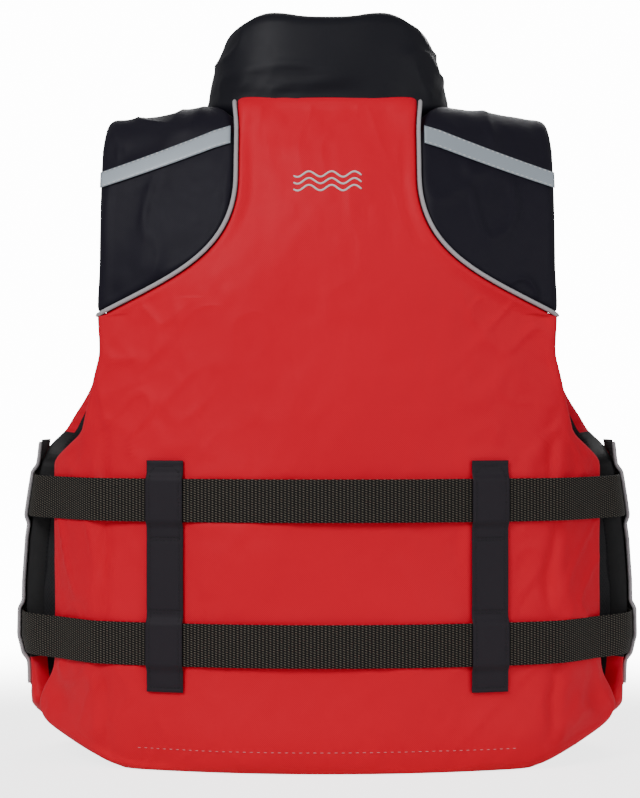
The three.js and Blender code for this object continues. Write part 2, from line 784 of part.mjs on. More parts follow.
// Buckles. The housing's fixed end is on the left and the tongue comes in from the right.
const buckle = { low: 1.4, high: 13, half: 26, mouth: 12, window: [-12, 4.5] };
const cavity = { low: 3.4, high: 11, half: 21.6 };
function housing() {
  const side = [[-40, 22], [-37, 24], [-20, 24.5], [0, buckle.half], [buckle.mouth, buckle.half - 1]];
  const otherSide = side.map(([x, up]) => [x, -up]);
  const body = plate([...otherSide, ...side.reverse()], buckle.low, buckle.high);
  const hollow = box(-18, buckle.mouth + 5, cavity.low, cavity.high, -cavity.half, cavity.half);
  const windows = box(buckle.window[0], buckle.window[1], cavity.low, cavity.high, -30, 30);
  const slot = box(-33, -24, 0, 15, -20.5, 20.5);
  const under = box(-45, -32, 0, 4.6, -20.5, 20.5);
  const over = box(-45, -32, 9.4, 15, -20.5, 20.5);
  return cut(body, hollow, windows, slot, under, over);
}
function tongue() {
  const [from, to] = [4.2, 10.2];
  const side = [[12.6, 20], [14, 22.5], [46, 22.5], [48, 20]];
  const otherSide = side.map(([x, up]) => [x, -up]);
  const base = plate([...otherSide, ...side.reverse()], from, to);
  const slots = [box(22.5, 29.5, 0, 15, -20, 20), box(33.5, 42, 0, 15, -20, 20)];
  const prong = plate([[-14, -2.5], [-12, -4], [14, -4], [14, 4], [-12, 4], [-14, 2.5]], from, to);
  return cut(join(base, prong), ...slots);
}
// A squeeze arm, drawn pressed in so that it can slide out; turned outwards it fills the window.
const arm = plate(
  [[11.9, 13], [11.9, 16.8], [4, 16.8], [3, 20.9], [-8, 20.2], [-12, 17], [-10, 13.2], [0, 12.6]],
  4.4,
  10,
);
// The belt's end goes round the housing's bar, and the tail round the tongue's middle bar.
const beltUnderBar = [[-66, 1.9], [-42, 1.9], [-34, 2.3], [-29.5, 4], [-28, 7]];
const beltOverBar = [[-30, 10.6], [-36, 11.9], [-43, 10.4], [-52, 5.6], [-64, 4.7]];
const beltEnd = strip([...beltUnderBar, ...beltOverBar], beltThick, beltWidth);
const tailUnderBar = [[56, 1.9], [36, 2], [29.5, 3], [26, 6], [26.5, 10.4]];
const tailOverBar = [[31, 12.2], [49, 11.8], [56, 8.4], [64, 5], [72, 4.3], [136, 4.3]];
const tail = strip([...tailUnderBar, ...tailOverBar], 1.6, beltWidth);
// An elastic keeper holds the tail to the belt.
const keeperAt = 118;
const keeper = cut(
  box(keeperAt - 6, keeperAt + 6, 0.2, 6.4, -22, 22),
  box(keeperAt - 8, keeperAt + 8, 0.7, 5.6, -20.5, 20.5),
);
for (const [name, height] of Object.entries(beltHeights)) {
  const up = upAt(height);
  const lying = (shape) => shape.clone().translate(0, 0, up);
  const toBody = (shape) => lying(shape).applyMatrix4(fittings.matrix);
  add(`${name}_belt`, join(belt(height), toBody(beltEnd)), materials.webbing);
  add(`${name}_buckle_housing`, lying(housing()), materials.plastic, fittings);
  add(`${name}_buckle_tongue`, lying(tongue()), materials.plastic, fittings);
  add(`${name}_strap_tail`, lying(tail), materials.webbing, fittings);
  add(`${name}_strap_keeper`, lying(keeper), materials.webbing, fittings);
  add(`${name}_buckle_arm_top`, lying(arm), materials.plastic, fittings);
  const bottomArm = add(`${name}_buckle_arm_bottom`, arm, materials.plastic, fittings);
  bottomArm.position.z = up;
  bottomArm.scale.z = -1;
}

// --- Pockets ---
const pocketIn = 62;
const pocketLow = 138;
function pocket() {
  const outline = (inset) =>
    rectangle(pocketIn + inset, pocketIn + pocketWidth - inset, pocketLow + inset, pocketLow + pocketHeight, 8);
  const bag = plate(outline(0), 0.5, pocketDepth);
  const squareTop = box(pocketIn, pocketIn + pocketWidth, 0.5, pocketDepth, pocketLow + 30, pocketLow + pocketHeight);
  const hollow = plate(outline(cloth), 0.5 + cloth, pocketDepth - cloth);
  const mouth = box(
    pocketIn + cloth,
    pocketIn + pocketWidth - cloth,
    0.5 + cloth,
    pocketDepth - cloth,
    pocketLow + 30,
    pocketLow + pocketHeight + 5,
  );
  return cut(join(bag, squareTop), join(hollow, mouth));
}
addPair("pocket", pocket(), materials.redNylon, fittings);
// The flap covers the mouth and hangs over the outside of the pocket.
const flapTop = pocketLow + pocketHeight + gap;
const flap = join(
  box(pocketIn - 1, pocketIn + pocketWidth + 1, 1, pocketDepth + 2.4, flapTop, flapTop + 1.8),
  plate(
    rectangle(pocketIn - 1, pocketIn + pocketWidth + 1, flapTop - 34, flapTop + 1.5, 6),
    pocketDepth + 0.6,
    pocketDepth + 2.4,
  ),
);
addPair("pocket_flap", flap, materials.redNylon, fittings);

// The origin is under the middle of the overall depth.
const bounds = new THREE.Box3().setFromObject(group);
group.position.y = -(bounds.min.y + bounds.max.y) / 2;

export default group;
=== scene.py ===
import math

import bmesh
import bpy
import numpy as np
from mathutils import Matrix, Vector


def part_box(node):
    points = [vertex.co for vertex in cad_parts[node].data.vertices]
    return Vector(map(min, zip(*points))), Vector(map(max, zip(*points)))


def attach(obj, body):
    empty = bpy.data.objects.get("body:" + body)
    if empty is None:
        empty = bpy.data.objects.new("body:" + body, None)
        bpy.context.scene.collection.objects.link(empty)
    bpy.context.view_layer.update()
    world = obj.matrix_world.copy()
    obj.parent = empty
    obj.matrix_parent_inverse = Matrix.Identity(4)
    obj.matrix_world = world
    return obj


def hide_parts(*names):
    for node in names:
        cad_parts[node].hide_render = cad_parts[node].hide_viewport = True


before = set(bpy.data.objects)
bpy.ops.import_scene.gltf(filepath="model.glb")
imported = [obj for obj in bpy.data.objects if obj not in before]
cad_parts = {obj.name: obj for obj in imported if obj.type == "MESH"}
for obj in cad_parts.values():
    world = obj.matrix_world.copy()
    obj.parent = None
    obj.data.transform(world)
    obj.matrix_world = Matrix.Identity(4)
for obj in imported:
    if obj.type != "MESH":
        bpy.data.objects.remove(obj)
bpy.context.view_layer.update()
degree = math.pi / 180
mm = 0.001


# The jacket's faces, in millimetres, anchored to the CAD boxes.
def smooth(value, low, high):
    t = np.clip((np.asarray(value, float) - low) / (high - low), 0, 1)
    return t * t * (3 - 2 * t)


def mix(a, b, share):
    return a + (b - a) * share


# 1 between the two rises, 0 outside them.
def window(value, low, lowEnd, high, highEnd):
    return smooth(value, low, lowEnd) * (1 - smooth(value, high, highEnd))


# 0 at every edge, rising to 1 over each edge's own reach.
def clearOf(*edges):
    clear = 1
    for distance, reach in edges:
        clear = clear * smooth(distance, 0, reach)
    return clear


def flipped(points, mirrored):
    return points * [-1, 1, 1] if mirrored else points


def table(points, at):
    return np.interp(at, [p[0] for p in points], [p[1] for p in points])


# How far a walk of that distance along arcs of [length, turn] goes across and along.
def follow(arcs, distance):
    left = np.array(distance, float)
    across, along, heading = np.zeros_like(left), np.zeros_like(left), np.zeros_like(left)
    for i, (length, turn) in enumerate(arcs):
        step = left if i == len(arcs) - 1 else np.minimum(left, length)
        if abs(turn) < 1e-9:
            across, along = across + step * np.sin(heading), along + step * np.cos(heading)
        else:
            radius = length / (turn * degree)
            turned = step / radius
            across = across + radius * (np.cos(heading) - np.cos(heading + turned))
            along = along + radius * (np.sin(heading + turned) - np.sin(heading))
            heading = heading + turned
        left = left - step
    return across, along


padDepth, edgeDepth, shoulderDepth, collarThick = 36, 24, 26, 14
section = [
    (205.3, 24.5),
    ((padDepth + 4.1) * 24 * degree, 24),
    (68, 12),
    ((padDepth + 24) * 29.5 * degree, 29.5),
    (55, 0),
    ((padDepth + 44) * 90 * degree, 90),
]
section.append((float(follow(section, sum(length for length, turn in section))[1]), 0))
halfRound = sum(length for length, turn in section)
creaseAt = section[0][0]
wingEnd = sum(length for length, turn in section[:3])
sideSeam = wingEnd + 55
backRadius = creaseAt / (section[0][1] * degree)
cornerRadius = section[5][0] / (section[5][1] * degree)
flatFront = section[6][0]
depth = float(follow(section, halfRound)[0])
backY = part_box("back_cover")[0].y / mm
lean = 0.09
tilt = math.atan(lean)
bladeStart, backTop, frontTop, zipTop = 408, 602, 412, 446
bladeRadius, bladeTurn, chestSlope, rollRadius, easeRadius = 360, 25, 60, 50, 120
bladeLength = bladeRadius * bladeTurn * degree


def archAt(x):
    rise = mix(34, 8, smooth(np.abs(x), 40, 95))
    bladeSin, bladeCos = math.sin(bladeTurn * degree), math.cos(bladeTurn * degree)
    slopeSin, slopeCos = math.sin(chestSlope * degree), math.cos(chestSlope * degree)
    up = bladeRadius * bladeSin + rise * bladeCos + rollRadius * (1 - bladeSin)
    eased = easeRadius * (slopeCos - math.sin(tilt))
    chest = (up - rollRadius * (1 - slopeCos) - eased - (frontTop - bladeStart)) / slopeSin
    rolled = bladeRadius * (1 - bladeCos) + rise * bladeSin + rollRadius * (bladeCos + slopeSin)
    top = depth - lean * frontTop - rolled - chest * slopeCos - easeRadius * (math.cos(tilt) - slopeSin)
    easeTurn = 90 - chestSlope - tilt / degree
    return [
        (bladeLength, bladeTurn),
        (rise, 0),
        (rollRadius * (90 - bladeTurn) * degree, 90 - bladeTurn),
        (top, 0),
        (rollRadius * chestSlope * degree, chestSlope),
        (chest, 0),
        (easeRadius * easeTurn * degree, easeTurn),
    ]


def shoulderFace(x, t):
    across, along = follow(archAt(x), np.maximum(0, t - bladeStart))
    forward = smooth(t, bladeStart + 157, bladeStart + 330)
    backSag = backRadius - np.sqrt(backRadius**2 - x**2)
    over = np.minimum(np.maximum(0, np.abs(x) - flatFront), cornerRadius - 1)
    frontSag = cornerRadius - np.sqrt(cornerRadius**2 - over**2)
    closing = 1 - (lean / depth) * np.minimum(t, backTop)
    onTop = window(t, bladeStart + 80, bladeStart + 190, bladeStart + 270, bladeStart + 390)
    drop = 0.11 * np.maximum(0, np.abs(x) - 100) * onTop
    y = backY + across + mix(backSag * closing, -frontSag, forward)
    return np.stack([x, y, np.minimum(t, bladeStart) + along - drop], -1)


def archRow(x, v):
    arcs = archAt(x)
    lengths = [np.broadcast_to(np.asarray(length, float), np.shape(x)) for length, turn in arcs]
    whole = np.clip(np.floor(v / 100), 0, len(arcs) - 1)
    row = np.full(np.shape(x), float(bladeStart))
    for i, length in enumerate(lengths):
        row = row + np.where(whole > i, length, np.where(whole == i, (v / 100 - i) * length, 0))
    return row


def yokeFace(x, v):
    return shoulderFace(x, archRow(x, v))


sideBulge = [
    (0, 0), (34, 2), (82, 15), (110, 23), (160, 22), (200, 19), (240, 13), (276, 7), (340, 0),
]


def roundFace(s, t, bulgeFrom, bulgeTo):
    s, t = np.broadcast_arrays(np.asarray(s, float), np.asarray(t, float))
    side = np.where(s < 0, -1.0, 1.0)
    across, along = follow(section, np.abs(s))
    flare = 10 * np.exp(-(((t - 45) / 32) ** 2)) * smooth(np.abs(s), 215, 300)
    towardsFront = smooth(halfRound - np.abs(s), 100, 300)
    bulge = table(sideBulge, t) * smooth(np.abs(s), bulgeFrom, bulgeTo)
    x = along + (flare + bulge) * towardsFront
    low = np.stack([side * x, backY + across * (1 - (lean / depth) * t), t], -1)
    high = shoulderFace(side * np.minimum(along, 300), np.maximum(t, bladeStart))
    above = (t > bladeStart) & (np.abs(s) < wingEnd)
    return np.where(above[..., None], high, low)


def bodyFace(s, t):
    return roundFace(s, t, wingEnd, wingEnd + 45)


def beltFace(s, t):
    return roundFace(s, t, wingEnd - 30, wingEnd + 55)


# u counts back from the middle of the front, negative so that the outside of the face stays out.
def frontFace(u, t):
    u = -u
    rise = np.maximum(0, t - frontTop)
    eased = np.minimum(rise, easeRadius * (90 - chestSlope - tilt / degree) * degree)
    angle = tilt + eased / easeRadius
    chestUp = easeRadius * (np.sin(angle) - math.sin(tilt)) + (rise - eased) * np.cos(angle)
    chestIn = easeRadius * (math.cos(tilt) - np.cos(angle)) + (rise - eased) * np.sin(angle)
    share = smooth(u, 20, 80)
    shift = np.stack(
        [
            np.zeros_like(rise),
            -mix(rise * math.sin(tilt), chestIn, share),
            mix(rise * math.cos(tilt), chestUp, share),
        ],
        -1,
    )
    return bodyFace(halfRound - u, np.minimum(t, frontTop)) + shift


footHeights = [
    (0, 596.5), (30, 596.5), (45, 598.5), (60, 600), (75, 599), (83, 596), (90, 591), (97, 571),
    (105, 547), (112, 528), (120, 511), (135, 487), (150, 470), (165, 465), (180, 464),
]
headHeights = [
    (0, 673), (20, 680), (35, 677), (60, 666), (90, 653), (105, 624), (120, 582), (135, 550),
    (150, 528), (165, 516), (180, 512),
]


def collarFace(angle, v):
    def power(value):
        return np.sign(value) * np.abs(value) ** (2 / 3)

    a = angle * degree
    share = v / 100
    half, middle, deep = mix(112, 96, share), mix(139, 133, share), mix(87, 73, share)
    turn = np.abs(angle)
    foot = np.mean([table(footHeights, turn + k) for k in (-6, -3, 0, 3, 6)], 0)
    head = np.mean([table(headHeights, np.abs(turn + k)) for k in (-8, -4, 0, 4, 8)], 0)
    y = backY + middle - deep * power(np.cos(a))
    return np.stack([half * power(np.sin(a)), y, mix(foot, head, share)], -1)


# A point drawn in the plane of the fronts: x, out from the plane, up along the zip.
def fittingsPoint(x, out, up):
    y = backY + depth + out * math.cos(tilt) - up * math.sin(tilt)
    return np.stack(np.broadcast_arrays(x, y, out * math.sin(tilt) + up * math.cos(tilt)), -1)


def onFace(face, u, v, out, level=True, step=0.6):
    u, v = np.broadcast_arrays(np.asarray(u, float), np.asarray(v, float))
    du = face(u + step, v) - face(u - step, v)
    dv = face(u, v + step) - face(u, v - step)
    normal = np.cross(du, dv)
    normal /= np.maximum(np.linalg.norm(normal, axis=-1, keepdims=True), 1e-9)
    if level:
        normal[..., 2] *= smooth(v, 0, 120)
        normal /= np.linalg.norm(normal, axis=-1, keepdims=True)
    return face(u, v) + normal * np.asarray(out)[..., None]


# Smooth noise between -1 and 1, about one bump per unit.
def noise(x, y, seed):
    values = np.random.default_rng(seed).random((64, 64)) * 2 - 1
    x, y = np.broadcast_arrays(np.asarray(x, float), np.asarray(y, float))
    i, j = np.floor(x).astype(int), np.floor(y).astype(int)
    fx, fy = x - i, y - j
    fx, fy = fx**3 * (fx * (fx * 6 - 15) + 10), fy**3 * (fy * (fy * 6 - 15) + 10)
    low = mix(values[i % 64, j % 64], values[(i + 1) % 64, j % 64], fx)
    high = mix(values[i % 64, (j + 1) % 64], values[(i + 1) % 64, (j + 1) % 64], fx)
    return mix(low, high, fy)


# Thin creases that stand up where the noise changes sign.
def ridges(x, y, seed, sharp=3):
    return (1 - np.abs(noise(x, y, seed))) ** sharp


# Meshes.
def newPiece(name, bm, materials, smoothFaces=True):
    mesh = bpy.data.meshes.new(name)
    bm.to_mesh(mesh)
    bm.free()
    for material in materials if isinstance(materials, (list, tuple)) else [materials]:
        mesh.materials.append(material)
    if smoothFaces:
        mesh.polygons.foreach_set("use_smooth", [True] * len(mesh.polygons))
    obj = bpy.data.objects.new(name, mesh)
    bpy.context.scene.collection.objects.link(obj)
    return obj


def put(obj, body, replaced=()):
    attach(obj, body)
    if replaced:
        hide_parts(*replaced)
    return obj


# A closed flat slab whose vertices hold the stops: x is u, y is v, and z is 0 outside, 1 inside.
def gridSlab(uStops, vStops):
    bm = bmesh.new()
    bmesh.ops.create_grid(bm, x_segments=len(uStops) - 1, y_segments=len(vStops) - 1, size=0.5)
    for vert in bm.verts:
        i = round((vert.co.x + 0.5) * (len(uStops) - 1))
        j = round((vert.co.y + 0.5) * (len(vStops) - 1))
        vert.co = (uStops[i], vStops[j], 0)
    made = bmesh.ops.extrude_face_region(bm, geom=bm.faces[:])["geom"]
    for item in made:
        if isinstance(item, bmesh.types.BMVert):
            item.co.z = 1
    return bm


# Moves a slab's vertices by mapping(u, v, w) and keeps its own u and v, in metres, as the cloth's UV.
# paint(u, v, w) gives each face's material from its middle.
def mapSlab(bm, mapping, uvOf, mirrored=False, paint=None):
    bm.verts.index_update()
    at = np.array([vert.co for vert in bm.verts])
    points = mapping(at[:, 0], at[:, 1], at[:, 2]) * mm
    flat = uvOf(at[:, 0], at[:, 1]) * mm
    if mirrored:
        points[:, 0] *= -1
    uv = bm.loops.layers.uv.new("cloth")
    if paint:
        middles = np.array([face.calc_center_median() for face in bm.faces])
        for face, index in zip(bm.faces, paint(middles[:, 0], middles[:, 1], middles[:, 2])):
            face.material_index = int(index)
    for face in bm.faces:
        for loop in face.loops:
            loop[uv].uv = flat[loop.vert.index]
    for vert, point in zip(bm.verts, points):
        vert.co = point
    bmesh.ops.recalc_face_normals(bm, faces=bm.faces[:])
    return bm


# Stops from 0 to length, closer together near both ends so that a rolled edge stays round.
def stops(length, step, edge, fine=1.2):
    near = np.linspace(0, 1, max(3, int(edge / fine / 1.6))) ** 1.5 * edge
    middle = np.linspace(edge, length - edge, max(2, int((length - 2 * edge) / step)))
    return np.concatenate([near[:-1], middle, (length - near[::-1])[1:]])


# How far a pad's face falls at a distance from its edge, as a quarter round.
def rolled(distance, width, drop):
    share = np.clip(1 - distance / width, 0, 1)
    return drop * (1 - np.sqrt(1 - share**2))


# The same for two edges at once, a and b as shares of the way out of their rolls.
def rolledBoth(a, b, drop):
    f = np.clip(np.clip(1 - a, 0, 1) ** 2 + np.clip(1 - b, 0, 1) ** 2, 0, 1)
    return drop * (1 - np.sqrt(1 - f))


# A closed round cord along points, as a mesh.
def tube(points, radius, sides=10):
    points = np.asarray(points, float)
    along = np.gradient(points, axis=0)
    along /= np.linalg.norm(along, axis=1, keepdims=True)
    across = np.cross(along, [0.13, 0.21, 0.97])
    across /= np.linalg.norm(across, axis=1, keepdims=True)
    other = np.cross(along, across)
    bm = bmesh.new()
    count = len(points)
    bmesh.ops.create_grid(bm, x_segments=sides, y_segments=count - 1, size=0.5)
    uv = bm.loops.layers.uv.new("cloth")
    run = np.concatenate([[0], np.cumsum(np.linalg.norm(np.diff(points, axis=0), axis=1))])
    places = {}
    for vert in bm.verts:
        angle = (vert.co.x + 0.5) * 2 * math.pi
        j = round((vert.co.y + 0.5) * (count - 1))
        places[vert] = (j, angle)
        end = 0.72 if j in (0, count - 1) else 1
        vert.co = Vector(
            (points[j] + radius * end * (math.cos(angle) * across[j] + math.sin(angle) * other[j])) * mm
        )
    for face in bm.faces:
        for loop in face.loops:
            j, angle = places[loop.vert]
            loop[uv].uv = (run[j] * mm, angle * radius * mm)
    bmesh.ops.remove_doubles(bm, verts=bm.verts[:], dist=1e-6)
    bmesh.ops.holes_fill(bm, edges=[edge for edge in bm.edges if edge.is_boundary], sides=0)
    bmesh.ops.recalc_face_normals(bm, faces=bm.faces[:])
    return bm


# Even points on a rounded line through the given ones.
def smoothPath(points, step):
    points = np.asarray(points, float)
    run = np.concatenate([[0], np.cumsum(np.linalg.norm(np.diff(points, axis=0), axis=1))])
    at = np.arange(0, run[-1] + step / 2, step)
    dense = np.stack([np.interp(at, run, points[:, k]) for k in range(points.shape[1])], 1)
    for _ in range(3):
        middle = (dense[:-2] + 2 * dense[1:-1] + dense[2:]) / 4
        dense = np.concatenate([dense[:1], middle, dense[-1:]])
    return dense


# Webbing along [x, out] points, its width centred on zero up; toPoint places x, out and up.
def ribbon(path, thick, width, toPoint, step=1.5):
    line = smoothPath(path, step)
    along = np.gradient(line, axis=0)
    along /= np.linalg.norm(along, axis=1, keepdims=True)
    normal = np.stack([-along[:, 1], along[:, 0]], 1)
    run = np.arange(len(line), dtype=float)
    across = stops(width, 3, 2, 0.8) - width / 2
    bm = gridSlab(run, across)

    def mapping(u, v, w):
        i = np.clip(u.round().astype(int), 0, len(line) - 1)
        soft = np.clip(1 - (width / 2 - np.abs(v)) / 1.0, 0, 1) ** 2
        out = (0.5 - w) * thick * (1 - 0.6 * soft)
        spot = line[i] + normal[i] * out[:, None]
        return toPoint(spot[:, 0], spot[:, 1], v)

    return mapSlab(bm, mapping, lambda u, v: np.stack([u * step, v], 1))


# Short raised threads along each run of points; every run is an array of points in millimetres.
def stitches(name, runs, material, body, length=3.0, gap=1.4, thick=0.55, lift=0.1):
    bm = bmesh.new()
    for points in runs:
        points = np.asarray(points, float)
        run = np.concatenate([[0], np.cumsum(np.linalg.norm(np.diff(points, axis=0), axis=1))])
        for start in np.arange(gap / 2, run[-1] - length, length + gap):
            a = np.array([np.interp(start, run, points[:, k]) for k in range(3)])
            b = np.array([np.interp(start + length, run, points[:, k]) for k in range(3)])
            way = Vector(b - a)
            turn = Vector((1, 0, 0)).rotation_difference(way).to_matrix().to_4x4()
            size = Matrix.Diagonal((way.length / 2 * mm, thick / 2 * mm, thick / 2 * mm, 1))
            place = Matrix.Translation(Vector((a + b) / 2) * mm)
            whole = place @ turn @ size @ Matrix.Rotation(math.pi / 2, 4, "Y")
            bmesh.ops.create_uvsphere(bm, u_segments=5, v_segments=4, radius=1, matrix=whole)
    obj = newPiece(name, bm, material)
    return put(obj, body)


# Materials.
def nodeGroup(name, inputs, outputs):
    group = bpy.data.node_groups.new(name, "ShaderNodeTree")
    for label, kind, value in inputs:
        made = group.interface.new_socket(name=label, in_out="INPUT", socket_type=kind)
        if value is not None:
            made.default_value = value
    for label, kind in outputs:
        group.interface.new_socket(name=label, in_out="OUTPUT", socket_type=kind)
    start = group.nodes.new("NodeGroupInput")
    end = group.nodes.new("NodeGroupOutput")
    return group, start, end


def maths(tree, operation, a, b=None, c=None):
    node = tree.nodes.new("ShaderNodeMath")
    node.operation = operation
    for i, value in enumerate((a, b, c)):
        if value is None:
            continue
        if isinstance(value, (int, float)):
            node.inputs[i].default_value = value
        else:
            tree.links.new(value, node.inputs[i])
    return node.outputs[0]


# Plain weave: threads that pass over and under each other, from a cloth position in metres.
def weaveGroup():
    group, start, end = nodeGroup(
        "plainWeave",
        [("Cloth", "NodeSocketVector", None), ("Pitch", "NodeSocketFloat", 0.0006)],
        [("Height", "NodeSocketFloat"), ("Over", "NodeSocketFloat")],
    )
    split = group.nodes.new("ShaderNodeSeparateXYZ")
    group.links.new(start.outputs["Cloth"], split.inputs[0])
    x = maths(group, "DIVIDE", split.outputs[0], start.outputs["Pitch"])
    y = maths(group, "DIVIDE", split.outputs[1], start.outputs["Pitch"])
    over = maths(
        group, "PINGPONG", maths(group, "ADD", maths(group, "FLOOR", x), maths(group, "FLOOR", y)), 1
    )
    warp = maths(group, "ABSOLUTE", maths(group, "SINE", maths(group, "MULTIPLY", x, math.pi)))
    weft = maths(group, "ABSOLUTE", maths(group, "SINE", maths(group, "MULTIPLY", y, math.pi)))
    blend = group.nodes.new("ShaderNodeMix")
    group.links.new(over, blend.inputs["Factor"])
    group.links.new(warp, blend.inputs["A"])
    group.links.new(weft, blend.inputs["B"])
    group.links.new(blend.outputs[0], end.inputs["Height"])
    group.links.new(over, end.inputs["Over"])
    return group


# Coarse webbing: columns of knuckles across the strap, each column set half a step from the next, with a
# light painted highlight on each knuckle top.
def webbingGroup():
    group, start, end = nodeGroup(
        "webbingWeave",
        [
            ("Cloth", "NodeSocketVector", None),
            ("Column", "NodeSocketFloat", 0.0032),
            ("Knuckle", "NodeSocketFloat", 0.0021),
        ],
        [("Height", "NodeSocketFloat"), ("KnuckleHighlight", "NodeSocketFloat")],
    )
    split = group.nodes.new("ShaderNodeSeparateXYZ")
    group.links.new(start.outputs["Cloth"], split.inputs[0])
    x = maths(group, "DIVIDE", split.outputs[0], start.outputs["Column"])
    shift = maths(group, "MULTIPLY", maths(group, "FLOOR", x), 0.5)
    y = maths(group, "ADD", maths(group, "DIVIDE", split.outputs[1], start.outputs["Knuckle"]), shift)
    dx = maths(group, "SUBTRACT", maths(group, "FRACT", x), 0.5)
    dy = maths(group, "SUBTRACT", maths(group, "FRACT", y), 0.5)
    slant = maths(group, "MULTIPLY_ADD", dy, 0.5, dx)
    far = maths(
        group,
        "SQRT",
        maths(group, "ADD", maths(group, "MULTIPLY", slant, slant), maths(group, "MULTIPLY", dy, dy)),
    )
    height = maths(group, "SMOOTH_MAX", maths(group, "SUBTRACT", 1, maths(group, "MULTIPLY", far, 2)), 0, 0.1)
    # Painted highlight: light spots on the knuckle tops, strongest at each knuckle's middle.
    knuckleHighlight = maths(group, "MULTIPLY", maths(group, "SUBTRACT", 0.34, far), 5)
    knuckleHighlight.node.use_clamp = True
    group.links.new(height, end.inputs["Height"])
    group.links.new(knuckleHighlight, end.inputs["KnuckleHighlight"])
    return group


# Slow, faint change of shade over a piece, as dye and handling leave it.
def blotchGroup():
    group, start, end = nodeGroup(
        "blotches",
        [("Place", "NodeSocketVector", None), ("Scale", "NodeSocketFloat", 9.0)],
        [("Shade", "NodeSocketFloat"), ("Fine", "NodeSocketFloat")],
    )
    for label, factor in (("Shade", 1.0), ("Fine", 14.0)):
        texture = group.nodes.new("ShaderNodeTexNoise")
        texture.inputs["Detail"].default_value = 3
        group.links.new(start.outputs["Place"], texture.inputs["Vector"])
        group.links.new(maths(group, "MULTIPLY", start.outputs["Scale"], factor), texture.inputs["Scale"])
        group.links.new(texture.outputs[0], end.inputs[label])
    return group


weave, webbing, blotches = weaveGroup(), webbingGroup(), blotchGroup()


# One finish. kind is cloth, webbing or None for a plain surface; shade is how much the colour varies; spot is
# the over threads' colour on cloth and a painted highlight on the webbing's knuckle tops.
def material(name, colour, roughness, kind=None, pitch=0.0006, relief=0.0001, shade=0.12, spot=None,
             sheen=0.0, metallic=0.0, specular=0.5):
    made = bpy.data.materials.new(name)
    made.use_nodes = True
    tree = made.node_tree
    bsdf = tree.nodes["Principled BSDF"]
    bsdf.inputs["Metallic"].default_value = metallic
    bsdf.inputs["Specular IOR Level"].default_value = specular
    bsdf.inputs["Sheen Weight"].default_value = sheen
    bsdf.inputs["Sheen Roughness"].default_value = 0.4
    place = tree.nodes.new("ShaderNodeTexCoord")
    blotch = tree.nodes.new("ShaderNodeGroup")
    blotch.node_tree = blotches
    tree.links.new(place.outputs["Object"], blotch.inputs["Place"])
    ramp = tree.nodes.new("ShaderNodeMix")
    ramp.data_type = "RGBA"
    ramp.inputs["A"].default_value = [c * (1 - shade) for c in colour] + [1]
    ramp.inputs["B"].default_value = [min(1, c * (1 + shade)) for c in colour] + [1]
    tree.links.new(blotch.outputs["Shade"], ramp.inputs["Factor"])
    colourOut = ramp.outputs["Result"]
    roughOut = maths(tree, "MULTIPLY_ADD", blotch.outputs["Fine"], 0.12, roughness - 0.06)
    bump = tree.nodes.new("ShaderNodeBump")
    bump.inputs["Distance"].default_value = relief
    if kind:
        group = tree.nodes.new("ShaderNodeGroup")
        group.node_tree = weave if kind == "cloth" else webbing
        uv = tree.nodes.new("ShaderNodeUVMap")
        uv.uv_map = "cloth"
        tree.links.new(uv.outputs[0], group.inputs["Cloth"])
        if kind == "cloth":
            group.inputs["Pitch"].default_value = pitch
            second = "Over"
        else:
            second = "KnuckleHighlight"
        tree.links.new(group.outputs["Height"], bump.inputs["Height"])
        if spot:
            threadsAndHighlight = tree.nodes.new("ShaderNodeMix")
            threadsAndHighlight.data_type = "RGBA"
            tree.links.new(group.outputs[second], threadsAndHighlight.inputs["Factor"])
            tree.links.new(colourOut, threadsAndHighlight.inputs["A"])
            threadsAndHighlight.inputs["B"].default_value = [*spot, 1]
            colourOut = threadsAndHighlight.outputs["Result"]
    else:
        tree.links.new(blotch.outputs["Fine"], bump.inputs["Height"])
    tree.links.new(colourOut, bsdf.inputs["Base Color"])
    tree.links.new(roughOut, bsdf.inputs["Roughness"])
    tree.links.new(bump.outputs[0], bsdf.inputs["Normal"])
    return made


redNylon = material("redNylon", (0.80, 0.0008, 0.022), 0.46, "cloth", 0.0009, 0.00006, 0.07,
                    spot=(0.86, 0.002, 0.030), specular=0.16)
bindingCloth = material("bindingCloth", (0.006, 0.006, 0.007), 0.7, "cloth", 0.0012, 0.0001, 0.15)
blackNylon = material("blackNylon", (0.006, 0.005, 0.012), 0.5, "cloth", 0.0009, 0.00006, 0.2,
                      spot=(0.010, 0.008, 0.018), sheen=0.03, specular=0.2)
collarCloth = material("collarCloth", (0.006, 0.006, 0.011), 0.45, "cloth", 0.0008, 0.00004, 0.15, sheen=0.03,
                       specular=0.24)
liningCloth = material("liningCloth", (0.012, 0.012, 0.015), 0.85, "cloth", 0.0022, 0.0003, 0.15,
                       spot=(0.006, 0.006, 0.008))
sideMesh = material("sideMesh", (0.024, 0.024, 0.03), 0.8, "cloth", 0.0024, 0.0006, 0.15,
                    spot=(0.008, 0.008, 0.011), sheen=0.1)
